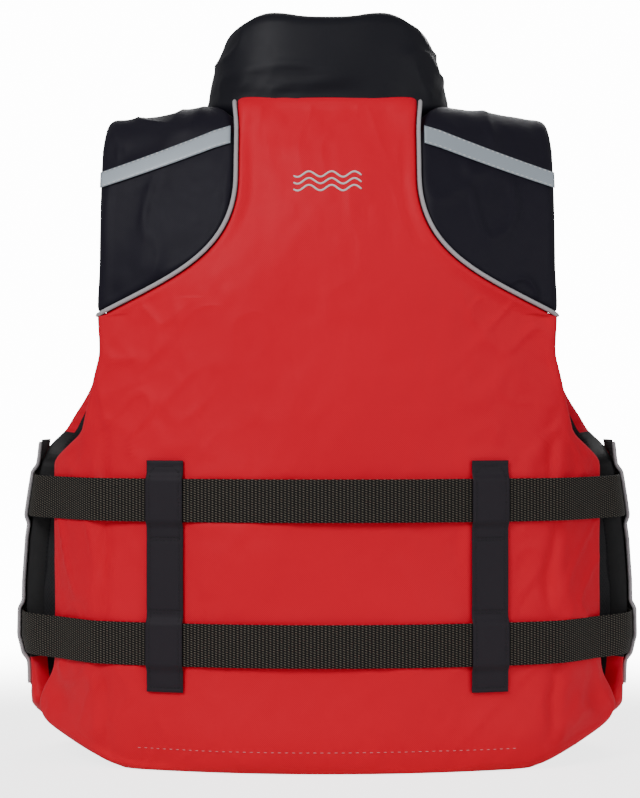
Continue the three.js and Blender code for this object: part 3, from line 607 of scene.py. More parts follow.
# The light tan spot colour on the webbing is a painted highlight on the knuckle tops.
beltWeb = material("beltWeb", (0.004, 0.0035, 0.003), 0.65, "webbing", relief=0.0008, shade=0.15,
                   spot=(0.16, 0.14, 0.11), specular=0.25)
loopCloth = material("loopCloth", (0.018, 0.0145, 0.020), 0.6, "cloth", 0.0008, 0.00005, 0.12,
                     spot=(0.022, 0.018, 0.025), sheen=0.03, specular=0.25)
reflective = material("reflective", (0.40, 0.455, 0.51), 0.36, "cloth", 0.0012, 0.00003, 0.06,
                      spot=(0.43, 0.49, 0.55), metallic=0.2)
pipingCloth = material("pipingCloth", (0.50, 0.48, 0.50), 0.5, "cloth", 0.0008, 0.00008, 0.06)
threadWhite = material("threadWhite", (0.78, 0.78, 0.78), 0.5, relief=0.00005, shade=0.04)
threadPink = material("threadPink", (0.75, 0.30, 0.33), 0.5, relief=0.00005, shade=0.04)
threadBlack = material("threadBlack", (0.002, 0.002, 0.0025), 0.6, relief=0.00005, shade=0.1)
buckleBlack = material("buckleBlack", (0.010, 0.010, 0.010), 0.36, relief=0.00004, shade=0.15)
zipMetal = material("zipMetal", (0.10, 0.10, 0.11), 0.3, relief=0.00003, shade=0.1, metallic=0.9)
print("materials made")


# Panels.
# Reads a table with its corners rounded over a spread.
def softTable(points, spread):

    def read(at):
        return np.mean([table(points, at + k * spread) for k in np.linspace(-1, 1, 9)], 0)

    return read


# Lining on the inner face, cover everywhere else.
def linedInside(u, v, w):
    return np.where(w > 0.99, 1, 0)


def crossPad(name, mapping, uStops, vStops, uvOf, materials, mirrored=False, paint=linedInside):
    bm = gridSlab(uStops, vStops)
    mapSlab(bm, mapping, uvOf, mirrored, paint)
    return newPiece(name, bm, materials)


back = {
    "step": 3.6, "hemRoll": 46, "hemDrop": 17, "edgeRoll": 10, "edgeDrop": 7, "seamRoll": 7, "seamDrop": 4,
    "creaseDeep": 4.2, "creaseWide": 8, "swell": 3.0, "fold": 2.6, "ripple": 0.5, "binding": 4.5,
}
armholeHalf, seamNeck, seamLow, seamHalf = 206, 81, 404, 1.5
sectionRun = np.arange(0, wingEnd, 0.5)
sectionAlong = follow(section, sectionRun)[1]


# How far round the back a distance from the middle is reached.
def roundTo(x):
    return np.interp(x, sectionAlong, sectionRun)


armholeRound = float(roundTo(armholeHalf))
backOutline = [
    (0, 190), (14, 240), (34, 292), (50, 304), (66, 300), (84, wingEnd), (276, wingEnd), (300, 240),
    (369, armholeRound), (seamLow, armholeRound),
]


def bezier(a, b, c, d, count):
    t = np.linspace(0, 1, count)[:, None]
    a, b, c, d = (np.array(p, float) for p in (a, b, c, d))
    return (1 - t) ** 3 * a + 3 * (1 - t) ** 2 * t * b + 3 * (1 - t) * t**2 * c + t**3 * d


sweep = bezier((seamNeck, 530), (seamNeck, 456), (138, 438), (armholeHalf, seamLow), 40)[::-1]
seamLine = [(t, x) for x, t in sweep] + [(backTop, seamNeck)]
outlineSoft = softTable(backOutline, 5)


# How fast the seam moves out for each step down, at most straight across.
def seamSlope(t):
    return np.minimum(np.abs(table(seamLine, t + 1) - table(seamLine, t - 1)) / 2, 2.2)


def backEdge(t):
    beside = table(seamLine, t) - seamHalf * np.sqrt(1 + seamSlope(t) ** 2)
    return np.where(t < seamLow, outlineSoft(t), roundTo(beside))


def edgeSlope(t):
    low = np.abs(outlineSoft(t + 2) - outlineSoft(t - 2)) / 4
    return np.where(t < seamLow, low, seamSlope(t))


beltHeights = {"upper": 241, "lower": 114}


# Creases that fan out from under the arm.
def underarm(s, t, seed):
    ds, dt = 228 - np.abs(s), 322 - t
    far = np.hypot(ds, dt)
    angle = np.arctan2(dt, ds)
    fan = ridges(angle * 3.4 + 0.15 * noise(far / 30, angle, seed), far / 150, seed + 1, 4)
    return fan * smooth(far, 6, 26) * np.exp(-far / 55)


def backRelief(s, t):
    side = np.where(s < 0, 11, 23)
    wob = 5 * noise(t / 55, side, 3)
    crease = np.exp(-(((np.abs(s) - creaseAt - 4 - wob) / back["creaseWide"]) ** 2))
    crease *= (1 - smooth(t, 285, 330)) * mix(0.55, 1, smooth(noise(t / 40, side, 4), -0.6, 0.6))
    wing = smooth(np.abs(s), creaseAt - 10, creaseAt + 25)
    folds = ridges(s / 46 + t / 160, t / 95 - s / 300, 5, 5) * mix(0.25, 1, wing)
    folds = folds + 0.7 * ridges((s + t) / 70, (t - s) / 38, 9, 6) * smooth(np.abs(s), 60, 190) * (t < 420)
    pressed = sum(np.exp(-(((t - h) / 17) ** 4)) for h in beltHeights.values())
    puckers = ridges(s / 13, t / 60, 6, 2) * sum(
        np.exp(-(((np.abs(t - h) - 24) / 9) ** 2)) for h in beltHeights.values()
    )
    nearNeck = smooth(t, 500, 590) * ridges(s / 22 + noise(t / 40, 0.5, 8), t / 130, 12, 2)
    slack = back["swell"] * noise(s / 85 + 3, t / 105, 2)
    fan = 2.6 * (underarm(s, t, 31) * (s > 0) + underarm(s, t, 41) * (s <= 0))
    corner = -5 * np.exp(-(((np.abs(s) - 268) / 16) ** 2) - (((t - 62) / 17) ** 2))
    hem = 0.9 * ridges(s / 19 + noise(t / 30, s / 90, 14), t / 80, 13, 2) * (1 - smooth(t, 18, 62))
    underLoop = (1 - smooth(np.abs(np.abs(s) - 145), 18, 30)) * window(t, 56, 72, 276, 292)
    relief = (
        slack - back["creaseDeep"] * crease + back["fold"] * folds + 0.8 * puckers
        + 1.6 * nearNeck + fan + corner + hem + back["ripple"] * noise(s / 11, t / 15, 7)
    ) - 1.6
    held = np.maximum(np.clip(pressed, 0, 1), underLoop)
    return mix(np.minimum(relief, 3.4), -1.2 + 0.25 * noise(s / 14, t / 20, 15), held)


# The back's upper corners are sewn up against the collar.
def neckCorner(s, t):
    return 6 * smooth(np.abs(s), 45, 78) * smooth(t, 572, 602)


def makeBack():
    shareStops = stops(2 * wingEnd, back["step"], 16) / wingEnd - 1
    top = backTop + 7
    nearSeam = np.arange(seamLow - 8, seamLow + 30, 1.5)
    vStops = np.unique(np.concatenate([stops(top, back["step"], 30), nearSeam]))

    def mapping(share, v, w):
        reach = backEdge(v)
        side = (1 - np.abs(share)) * reach / np.sqrt(1 + np.minimum(edgeSlope(v), 3) ** 2)
        s = share * reach
        seamed = smooth(v, seamLow - 30, seamLow)
        roll = mix(back["edgeRoll"], back["seamRoll"], seamed)
        drop = mix(back["edgeDrop"], back["seamDrop"], seamed)
        deep = mix(padDepth, edgeDepth, smooth(np.abs(share), 0.5, 1))
        face = bodyFace(s, v)
        fall = rolledBoth(side / roll, np.full_like(v, 2.0), drop)
        fall = fall + rolled(v, back["hemRoll"], back["hemDrop"])
        relief = backRelief(s, v) * smooth(side, 0, 14) * smooth(v, 0, 10) * smooth(top - v, 4, 14)
        outer = relief - fall + neckCorner(s, v)
        innerFall = deep - rolledBoth(side / 9, v / 12, 8)
        quilt = 1.2 * noise(s / 60, v / 70, 61)
        out = np.where(w < 0.5, outer, -np.maximum(innerFall + quilt - 1.2, 3 - outer))
        return onFace(bodyFace, s, v, out)

    def paint(share, v, w):
        bound = (1 - np.abs(share)) * backEdge(v) < back["binding"]
        bound = bound & (v > 84) & (v < 278)
        atCollar = (w > 0.4) & (v > top - 1)
        return np.where((w > 0.99) | atCollar, 1, np.where(bound, 2, 0))

    pad = crossPad(
        "backPad", mapping, shareStops, vStops, lambda share, v: np.stack([share * backEdge(v), v], 1),
        [redNylon, liningCloth, bindingCloth], paint=paint,
    )
    put(pad, "jacket", ("back_cover", "back_foam_outer", "back_foam_inner", "back_lining"))


shoulderShape = {
    "step": 3.4, "edgeRoll": 12, "edgeDrop": 10, "seamRoll": 7, "seamDrop": 3.6, "fold": 2.6,
    "tuck": 9, "under": 15,
}
neckEdge = [
    (100, seamNeck + seamHalf), (200, 84), (250, 89), (300, 106), (400, 115), (500, 116), (550, 109),
    (575, 98), (600, 84), (700, 80),
]
shoulderEdge = [(0, armholeHalf), (200, armholeHalf), (300, 200), (400, 197), (500, 200), (600, armholeHalf)]
neckSoft, shoulderSoft = softTable(neckEdge, 14), softTable(shoulderEdge, 20)


def shoulderInner(v):
    t = bladeStart + (v / 100) * bladeLength
    low = table(seamLine, t) + seamHalf * np.sqrt(1 + seamSlope(t) ** 2)
    return np.where(v < 100, low, np.maximum(neckSoft(v), seamNeck + seamHalf))


# The row of each reflective tape's middle: across the shoulder blade, sloping, and on the chest.
def backTapeRow(x):
    return backTop - 31 - 0.328 * (x - 84)


chestTapeAt = 540


def makeShoulders():
    shape = shoulderShape
    lengths = np.array([float(np.asarray(length)) for length, turn in archAt(np.array(150.0))])
    run = np.concatenate([[0], np.cumsum(lengths)])
    vStops = np.interp(stops(run[-1], shape["step"], 16), run, np.arange(8) * 100)
    vStops = np.unique(np.concatenate([vStops, np.arange(-2.6, 26, 0.9)]))
    shareStops = stops(120, shape["step"] * 0.9, 15) / 120
    for side, mirrored in (("right", False), ("left", True)):
        seed = 70 if mirrored else 50

        def mapping(share, v, w):
            outer = shoulderSoft(v)
            inner = np.minimum(shoulderInner(v), outer - 1)
            slope = np.abs(shoulderInner(v + 1) - shoulderInner(v - 1)) / 2 / (bladeLength / 100)
            x = mix(inner, outer, share) - shape["tuck"] * w * (1 - share) * smooth(v, 60, 140)
            width = outer - inner
            toInner = share * width / np.sqrt(1 + np.minimum(slope, 4) ** 2 * (v < 100))
            toOuter = (1 - share) * width
            along = np.interp(v, np.arange(8) * 100, run)
            toEnd = run[-1] - along
            folds = shape["fold"] * ridges(x / 34 + along / 150, along / 60 - x / 90, seed, 4)
            folds = folds + 0.8 * ridges(x / 90, along / 21, seed + 1, 3) * window(along, 190, 260, 330, 420)
            relief = folds + 2.0 * noise(x / 55, along / 75, seed + 2) - 1.6
            relief = relief + 0.3 * noise(x / 9, along / 14, seed + 3)
            backStripe = (along - (backTapeRow(x) - bladeStart)) / 15
            chestStripe = (along - np.interp(chestTapeAt, np.arange(8) * 100, run)) / 15
            flat = np.exp(-(backStripe**4)) + np.exp(-(chestStripe**4))
            relief = mix(np.minimum(relief, 3), -0.4, np.clip(flat, 0, 1))
            relief = relief * clearOf((toOuter, 16), (toInner, 10), (along, 9), (toEnd, 9))
            cornered = mix(0.45, 0.9, smooth(along, 5, 45))
            fall = rolledBoth(toOuter / shape["edgeRoll"], toEnd / 8, 1) * shape["edgeDrop"] * cornered
            fall = fall + rolledBoth(toInner / shape["seamRoll"], np.full_like(v, 2.0), shape["seamDrop"])
            fall = fall + rolled(along, 4, 2)
            deep = shoulderDepth - rolledBoth(toOuter / 12, toEnd / 10, 9)
            deep = deep - rolledBoth(toInner / 8, along / 8, 6)
            out = np.where(w < 0.5, relief - fall, -deep)
            return onFace(yokeFace, x, v + shape["under"] * w * smooth(v, 640, 700), out, level=False)

        pad = crossPad(
            f"shoulderPad_{side}", mapping, shareStops, vStops,
            lambda share, v: np.stack(
                [mix(shoulderInner(v), shoulderSoft(v), share), np.interp(v, np.arange(8) * 100, run)], 1
            ),
            [blackNylon, liningCloth], mirrored,
        )
        put(pad, "jacket", [f"shoulder_{part}_{side}" for part in ("cover", "foam", "lining")])


frontShape = {"step": 4.0, "edgeRoll": 10, "edgeDrop": 8, "hemRoll": 40, "hemDrop": 14, "fold": 2.4}
frontOutline = [
    (0, 200), (14, 262), (34, 335), (50, halfRound - 308), (64, halfRound - 314), (82, halfRound - 332),
    (100, halfRound - sideSeam), (276, halfRound - sideSeam), (288, 298), (300, 266), (330, 242), (369, 220),
    (frontTop - 4, armholeHalf + 2),
]
neckline = [(0, 8.5), (zipTop, 8.5), (454, 18), (462, 32)]
frontSoft = softTable(frontOutline, 5)


def frontEdge(t):
    atSeam = np.interp(t, [frontTop - 5, frontTop], [armholeHalf + 2, 77.6])
    return np.where(t < frontTop - 5, frontSoft(t), atSeam)


def makeFronts():
    shape = frontShape
    top = 462
    nearSeam = np.arange(frontTop - 9, frontTop + 3, 1.0)
    vStops = np.unique(np.concatenate([stops(top, shape["step"], 24), nearSeam]))
    shareStops = stops(336, shape["step"], 14) / 336
    for side, mirrored in (("right", False), ("left", True)):
        seed = 90 if mirrored else 80

        def mapping(share, v, w):
            first, last = table(neckline, v), frontEdge(v)
            u = mix(last, first, share)
            toSide, toZip = last - u, u - first
            slope = np.abs(frontEdge(v + 1) - frontEdge(v - 1)) / 2
            toSide = toSide / np.sqrt(1 + np.minimum(slope, 4) ** 2)
            quiet = 1 - window(u, 50, 70, 160, 180) * window(v, 125, 140, 200, 215)
            relief = 2.0 * noise(u / 70, v / 90, seed) * quiet
            relief = relief + shape["fold"] * ridges(u / 50 + v / 190, v / 70, seed + 1, 5) * quiet
            relief = relief + 0.3 * noise(u / 11, v / 14, seed + 2) - 1.8
            pressed = sum(np.exp(-(((v - h) / 22) ** 4)) for h in beltHeights.values())
            relief = mix(relief, -1.2, np.clip(pressed, 0, 1) * smooth(150 - u, 0, 30))
            relief = relief * clearOf((toSide, 14), (toZip, 12), (v, 10), (top - v, 12))
            seamBelow = np.exp(-(((v - frontTop) / 4) ** 2)) * smooth(u, 60, 80)
            underBand = window(v, 70, 92, 262, 284)
            sideDrop = mix(shape["edgeDrop"], 2.5, underBand)
            fall = rolledBoth(toSide / shape["edgeRoll"], np.full_like(v, 2.0), sideDrop)
            fall = fall + rolledBoth(toZip / 9, (top - v) / 12, 8)
            fall = fall + rolled(v, shape["hemRoll"], shape["hemDrop"])
            deep = mix(edgeDepth, padDepth, smooth(share, 0, 0.5))
            inner = deep - rolledBoth(toSide / 8, np.minimum(v, top - v) / 12, 7)
            inner = inner - rolled(toZip, 8, 7)
            out = np.where(w < 0.5, np.minimum(relief, 0.6) - fall - 3 * seamBelow, -inner)
            return onFace(frontFace, -u, v, out)

        def paint(share, v, w):
            bound = (share * (frontEdge(v) - table(neckline, v)) < 9) & (v > 88) & (v < 300)
            return np.where(w > 0.99, 1, np.where(bound, 2, 0))

        pad = crossPad(
            f"frontPad_{side}", mapping, shareStops, vStops,
            lambda share, v: np.stack([mix(frontEdge(v), table(neckline, v), share), v], 1),
            [redNylon, liningCloth, bindingCloth], mirrored, paint,
        )
        put(pad, "jacket", [f"front_{part}_{side}" for part in ("cover", "foam", "lining")])


collarShape = {"swell": 3.0, "fold": 2.0}


def makeCollar():
    angleStops = np.linspace(-174, 174, 190)
    vStops = stops(107, 4.5, 14, 2.2) - 7

    def mapping(angle, v, w):
        v = v - 22 * w * (1 - smooth(v, -5, 20)) * (1 - smooth(np.abs(angle), 60, 90))
        toEnd = (174 - np.abs(angle)) * 1.1
        high = v * 0.8
        toTop = (100 - v) * 0.8
        across = angle * 1.7
        crown = collarShape["swell"] * np.sin(np.clip(v, 0, 100) / 100 * math.pi) ** 0.8
        folds = collarShape["fold"] * ridges(across / 60 + high / 70, high / 26 - across / 160, 101, 3)
        gathered = ridges(across / 17 + noise(high / 20, 1, 104), high / 90, 102, 2)
        folds = folds + 0.9 * gathered * (1 - smooth(v, 10, 55))
        relief = (crown + folds + 1.0 * noise(across / 45, high / 40, 103) - 2.2) * smooth(toEnd, 0, 12)
        relief = relief * smooth(v, -6, 14)
        toTop = np.minimum(toTop, 80)
        fall = rolledBoth(toTop / 10, toEnd / 9, collarThick / 2 - 0.5)
        out = np.where(
            w < 0.5,
            relief * smooth(toTop, 0, 10) - fall,
            -(collarThick - fall) - 0.6 * crown * smooth(toTop, 0, 10) * smooth(toEnd, 0, 10),
        )
        return onFace(collarFace, angle, v, out, level=False)

    pad = crossPad(
        "collarPad", mapping, angleStops, vStops, lambda angle, v: np.stack([angle * 1.7, v * 0.8], 1),
        [collarCloth], paint=None,
    )
    put(pad, "jacket", ("collar_cover", "collar_foam", "collar_lining"))


makeBack()
makeShoulders()
makeFronts()
makeCollar()
print("pads made")


# Sides: gusset, mesh band and its piping.
# A sheet on a face; outOf(u, v) is how far its underside stands out.
def band(name, face, uRange, rows, outOf, thick, mat, mirrored, step=3.0, edge=1.2, level=True, uvOf=None):
    uStops = np.linspace(*uRange, max(3, int(abs(uRange[1] - uRange[0]) / step) + 1))
    vStops = np.linspace(rows[0], rows[1], max(3, int((rows[1] - rows[0]) / step) + 1))
    bm = gridSlab(uStops, vStops)

    def mapping(u, v, w):
        toEdge = np.minimum(np.minimum(u - uRange[0], uRange[1] - u), np.minimum(v - rows[0], rows[1] - v))
        thin = np.clip(1 - toEdge / edge, 0, 1) * 0.3 * thick
        return onFace(face, u, v, outOf(u, v) + np.where(w < 0.5, thick - thin, thin), level)

    mapSlab(bm, mapping, uvOf or (lambda u, v: np.stack([u, v], 1)), mirrored)
    return newPiece(name, bm, mat)


bandFrom, bandTo, bandUnder = sideSeam + 3, sideSeam + 52, 4.2


# How far the mesh band stands off the pad: up over each belt and down onto the pad between them.
def bandOut(v):
    over = sum(smooth(31 - np.abs(v - height), 2, 12) for height in beltHeights.values())
    return mix(0.4, bandUnder, over)


for side, mirrored in (("right", False), ("left", True)):
    gusset = band(
        f"gusset_{side}", bodyFace, (wingEnd + 0.4, sideSeam - 0.4), (102, 272),
        lambda u, v: -20.5 + 1.2 * noise(u / 12, v / 25, 111) * clearOf((u - wingEnd, 8), (sideSeam - u, 8)),
        1.2, liningCloth, mirrored,
    )
    put(gusset, "jacket", [f"side_gusset_{side}"])
    edgeBand = band(
        f"meshBand_{side}", bodyFace, (bandFrom, bandTo), (62, 292),
        lambda u, v: bandOut(v) + 0.9 * noise(u / 18, v / 30, 112) * smooth(bandOut(v), 1, 4), 1.5, sideMesh,
        mirrored, step=2.4,
    )
    put(edgeBand, "jacket", [f"side_band_{side}"])
    rows = np.linspace(64, 290, 110)
    path = onFace(bodyFace, np.full_like(rows, bandFrom - 2.4), rows, bandOut(rows) + 1.6)
    path = flipped(path, mirrored)
    edgeCord = newPiece(f"bandPiping_{side}", tube(path, 1.9), pipingCloth)
    put(edgeCord, "jacket", [f"side_piping_{side}"])

    # Piping along the seam between the back and the shoulder, sitting in its valley.
    line = np.concatenate([sweep, np.stack([np.full(18, float(seamNeck)), np.linspace(534, 606, 18)], 1)])
    line = smoothPath(line, 2.0)
    sink = rolled(armholeHalf + 1 - line[:, 0], 12, 4.5)
    lift = 0.4 - sink + neckCorner(line[:, 0], line[:, 1])
    path = flipped(onFace(shoulderFace, line[:, 0], line[:, 1], lift, level=False), mirrored)
    seamCord = newPiece(f"seamPiping_{side}", tube(path, 1.9), pipingCloth)
    put(seamCord, "jacket", [f"back_piping_{side}"])

    def tapeFace(x, v):
        return shoulderFace(x, backTapeRow(x) + v)

    tape = band(
        f"backTape_{side}", tapeFace, (86, 203), (-9, 9), lambda u, v: 0.9 + 0 * u, 0.8, reflective, mirrored,
        step=2.0, level=False,
    )
    put(tape, "jacket", [f"back_tape_{side}"])

    def chestFace(x, v):
        return shoulderFace(x, archRow(x, chestTapeAt + 0 * x) + v)

    chestTape = band(
        f"frontTape_{side}", chestFace, (118, 198), (-9, 9), lambda u, v: 0.9 + 0 * u, 0.8, reflective,
        mirrored, step=2.0, level=False,
    )
    put(chestTape, "jacket", [f"front_tape_{side}"])

    def sewnRuns(face, x0, x1):
        runs = []
        for v in (-7.6, 7.6):
            xs = np.linspace(x0, x1, 60)
            points = onFace(face, xs, np.full_like(xs, v), 1.75, level=False)
            runs.append(flipped(points, mirrored))
        return runs

    stitches(f"tapeStitch_{side}", sewnRuns(tapeFace, 89, 201) + sewnRuns(chestFace, 121, 196), threadWhite,
             "jacket", length=3.0, gap=1.6, thick=1.0)

# Belts.
beltWidth, beltThick, beltLift = 38, 1.8, 1.0
beltLeft, beltRight = 56, 100
endLoop = [
    (-66, 1.9), (-42, 1.9), (-34, 2.3), (-29.5, 4), (-28, 7), (-30, 10.6), (-36, 11.9), (-43, 10.4),
    (-52, 5.6), (-64, 4.7),
]
tailPath = [
    (56, 1.9), (36, 2), (29.5, 3), (26, 6), (26.5, 10.4), (31, 12.2), (49, 11.8), (56, 8.4), (64, 5),
    (72, 4.3), (136, 4.3),
]


# One piece from several closed meshes.
def joined(name, meshes, mat):
    whole = bmesh.new()
    for bm in meshes:
        mesh = bpy.data.meshes.new("part")
        bm.to_mesh(mesh)
        bm.free()
        whole.from_mesh(mesh)
        bpy.data.meshes.remove(mesh)
    return newPiece(name, whole, mat)


for level, height in beltHeights.items():
    sStops = np.arange(-(halfRound - beltLeft), halfRound - beltRight, 4.0)
    bm = gridSlab(sStops, stops(beltWidth, 3.0, 2.4, 0.8) - beltWidth / 2)

    def mapping(s, v, w):
        soft = np.clip(1 - (beltWidth / 2 - np.abs(v)) / 1.2, 0, 1) ** 2 * 0.6
        middle = beltLift + beltThick / 2
        wave = 0.35 * noise(s / 40, height / 7, 121) * smooth(np.abs(s), 0, 30) * (np.abs(s) < 430)
        return onFace(beltFace, s, height + v, middle + wave + (0.5 - w) * beltThick * (1 - soft))

    mapSlab(bm, mapping, lambda s, v: np.stack([s, v], 1))
    up = height / math.cos(tilt)

    def strapPoint(x, out, v):
        return fittingsPoint(x, out, up + v)

    loop = ribbon(endLoop, beltThick, beltWidth, strapPoint)
    strap = joined(f"{level}Belt", [bm, loop], beltWeb)
    put(strap, "jacket", [f"{level}_belt"])
    tail = newPiece(f"{level}Tail", ribbon(tailPath, 1.6, beltWidth, strapPoint), beltWeb)
    put(tail, f"{level}_tongue", [f"{level}_strap_tail"])

    # The keeper is a flat elastic ring round the tail and the belt.
    corners = {"out": (0.45, 6.15), "up": (-21.6, 21.6), "round": 1.6}

    # Round the ring by angle share, x along the belt, w through its thickness.
    def keeperPoint(angle, x, w):
        (o0, o1), (z0, z1), r = corners["out"], corners["up"], corners["round"]
        flatO, flatZ = (o1 - o0) / 2 - r, (z1 - z0) / 2 - r
        theta = angle * 2 * math.pi
        c, s = np.cos(theta), np.sin(theta)
        reach = r - w * 1.2
        o = (o0 + o1) / 2 + np.clip(c * 60, -flatO, flatO) + reach * c / np.hypot(c, s)
        z = (z0 + z1) / 2 + np.clip(s * 60, -flatZ, flatZ) + reach * s / np.hypot(c, s)
        return fittingsPoint(118 + x, o, up + z)

    bm = gridSlab(np.linspace(0, 1, 73), np.linspace(-6, 6, 7))
    mapSlab(bm, keeperPoint, lambda a, x: np.stack([a * 100, x], 1))
    bmesh.ops.remove_doubles(bm, verts=bm.verts[:], dist=1e-6)
    keeper = newPiece(f"{level}Keeper", bm, loopCloth)
    put(keeper, f"{level}_keeper", [f"{level}_strap_keeper"])

# Belt loops on the back.
loopShape = {"middle": 145, "width": 34, "low": 72, "high": 276, "thick": 1.6, "over": 3.6}
sewnRows = (76, 143, 207, 271)
for side, mirrored in (("right", False), ("left", True)):
    def loopLift(u, v):
        lifted = sum(smooth(28 - np.abs(v - h), 3, 11) for h in beltHeights.values())
        soft = 0.5 * np.sin((v - 72) / 204 * 5 * math.pi) * 0.2
        sewn = sum(np.exp(-(((v - row) / 2.2) ** 2)) for row in sewnRows)
        edgeDip = np.exp(-(((loopShape["width"] / 2 - np.abs(u - loopShape["middle"]) - 3.2) / 1.3) ** 2))
        return 0.5 + 3.1 * np.clip(lifted, 0, 1) + soft - 0.35 * sewn - 0.25 * edgeDip

    uRange = (loopShape["middle"] - loopShape["width"] / 2, loopShape["middle"] + loopShape["width"] / 2)
    strip = band(
        f"beltLoop_{side}", bodyFace, uRange, (loopShape["low"], loopShape["high"]), loopLift,
        loopShape["thick"], loopCloth, mirrored, step=1.25,
    )
    put(strip, "jacket", [f"back_loop_{side}"])

    def loopRun(u0, v0, u1, v1):
        n = max(4, int(math.hypot(u1 - u0, v1 - v0) / 2))
        u, v = np.linspace(u0, u1, n), np.linspace(v0, v1, n)
        return flipped(onFace(bodyFace, u, v, loopLift(u, v) + loopShape["thick"] + 0.05), mirrored)

    u0, u1 = uRange[0] + 3.4, uRange[1] - 3.4
    runs = [
        loopRun(u0, 75, u0, 265), loopRun(u1, 75, u1, 265), loopRun(u0, 265, u0 + 5, 271),
        loopRun(u1, 265, u1 - 5, 271), loopRun(u0 + 5, 271, u1 - 5, 271), loopRun(u0, 76, u1, 76),
    ]
    for row in (143, 207):
        runs += [loopRun(u0, row - 1.4, u1, row - 1.4), loopRun(u0, row + 1.4, u1, row + 1.4)]
    stitches(f"loopStitch_{side}", runs, threadBlack, "jacket", 2.0, 1.3, 0.9)
print("straps made")


# Hem stitching and the generic embroidered wave on the back.
hemS = np.linspace(-176, 176, 160)
hemT = np.full_like(hemS, 21.0)
hemOut = backRelief(hemS, hemT) - rolled(hemT, back["hemRoll"], back["hemDrop"])
hemRun = onFace(bodyFace, hemS, hemT, np.minimum(hemOut, 3.4) + 0.1)
stitches("hemStitch", [hemRun], threadPink, "jacket", 3.2, 3.0, 0.7)
waves = []
for row in (-6.5, 0, 6.5):
    xs = np.linspace(-30, 30, 60)
    ts = 524 + row + 2.6 * np.sin(xs / 60 * 6 * math.pi + 0.4)
    relief = np.minimum(backRelief(xs, ts), 3.4)
    waves.append(tube(onFace(bodyFace, xs, ts, relief + 0.15), 0.9, 8))
put(joined("embroidery", waves, threadWhite), "jacket")

# Zip: tapes and fine teeth.
chain = {"inner": 0.7, "root": 2.2, "outer": 4.2, "front": -7.6, "back": -10.6, "from": 14, "to": zipTop - 6}
zipMiddle = (chain["front"] + chain["back"]) / 2
for side, sign in (("right", 1), ("left", -1)):
    bm = gridSlab(np.linspace(4.2, 8.1, 4), np.linspace(6, zipTop, 200))
    mapSlab(
        bm,
        lambda x, up, w: fittingsPoint(sign * x, zipMiddle + (0.5 - w) * 1.0, up),
        lambda x, up: np.stack([x, up], 1),
    )
    put(newPiece(f"zipTape_{side}", bm, blackNylon), "jacket", [f"zip_tape_{side}"])
    bm = bmesh.new()
    turn = Matrix.Rotation(tilt, 4, "X")
    pitch = 3.6
    offset = 0 if sign > 0 else pitch / 2
    for up in np.arange(chain["from"] + 1 + offset, chain["to"] - 4, pitch):
        centre = Vector(fittingsPoint(sign * 1.9, zipMiddle, up)) * mm
        size = Matrix.Diagonal((2.6 * mm, 2.6 * mm, 1.5 * mm, 1))
        bmesh.ops.create_cube(bm, size=1, matrix=Matrix.Translation(centre) @ turn @ size)
    rail = Matrix.Diagonal((1.6 * mm, 2.2 * mm, (chain["to"] - chain["from"]) * mm, 1))
    middle = Vector(fittingsPoint(sign * 3.4, zipMiddle, (chain["to"] + chain["from"]) / 2)) * mm
    bmesh.ops.create_cube(bm, size=1, matrix=Matrix.Translation(middle) @ turn @ rail)
    bmesh.ops.bevel(
        bm, geom=bm.edges[:], offset=0.00025, affect="EDGES", segments=1, profile=0.5, material=-1
    )
    teeth = newPiece(f"zipTeeth_{side}", bm, buckleBlack, False)
    put(teeth, "jacket", [f"zip_teeth_{side}"])

# Storm flap behind the zip, hanging loop, pockets.
bm = gridSlab(np.linspace(-26, 26, 16), np.linspace(8, 440, 130))


def stormPoint(x, up, w):
    return fittingsPoint(x, -padDepth - 1.75 + 0.4 * noise(x / 20, up / 40, 131) + (0.5 - w) * 1.2, up)


mapSlab(bm, stormPoint, lambda x, up: np.stack([x, up], 1))
stormFlap = put(newPiece("stormFlap", bm, liningCloth), "jacket", ["storm_flap"])

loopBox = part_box("hang_loop")
loopY = loopBox[0].y / mm + 0.75
hang = [(-24, 0), (-16, 4.5), (0, 8), (16, 4.5), (24, 0)]
bm = ribbon(
    hang, 1.5, 9,
    lambda x, y, up: np.stack(np.broadcast_arrays(x, loopY + y, 612 + up), -1),
)
put(newPiece("hangLoop", bm, loopCloth), "jacket", ["hang_loop"])

pocketShape = {"in": 62, "width": 104, "low": 138, "height": 62, "deep": 20, "round": 9}


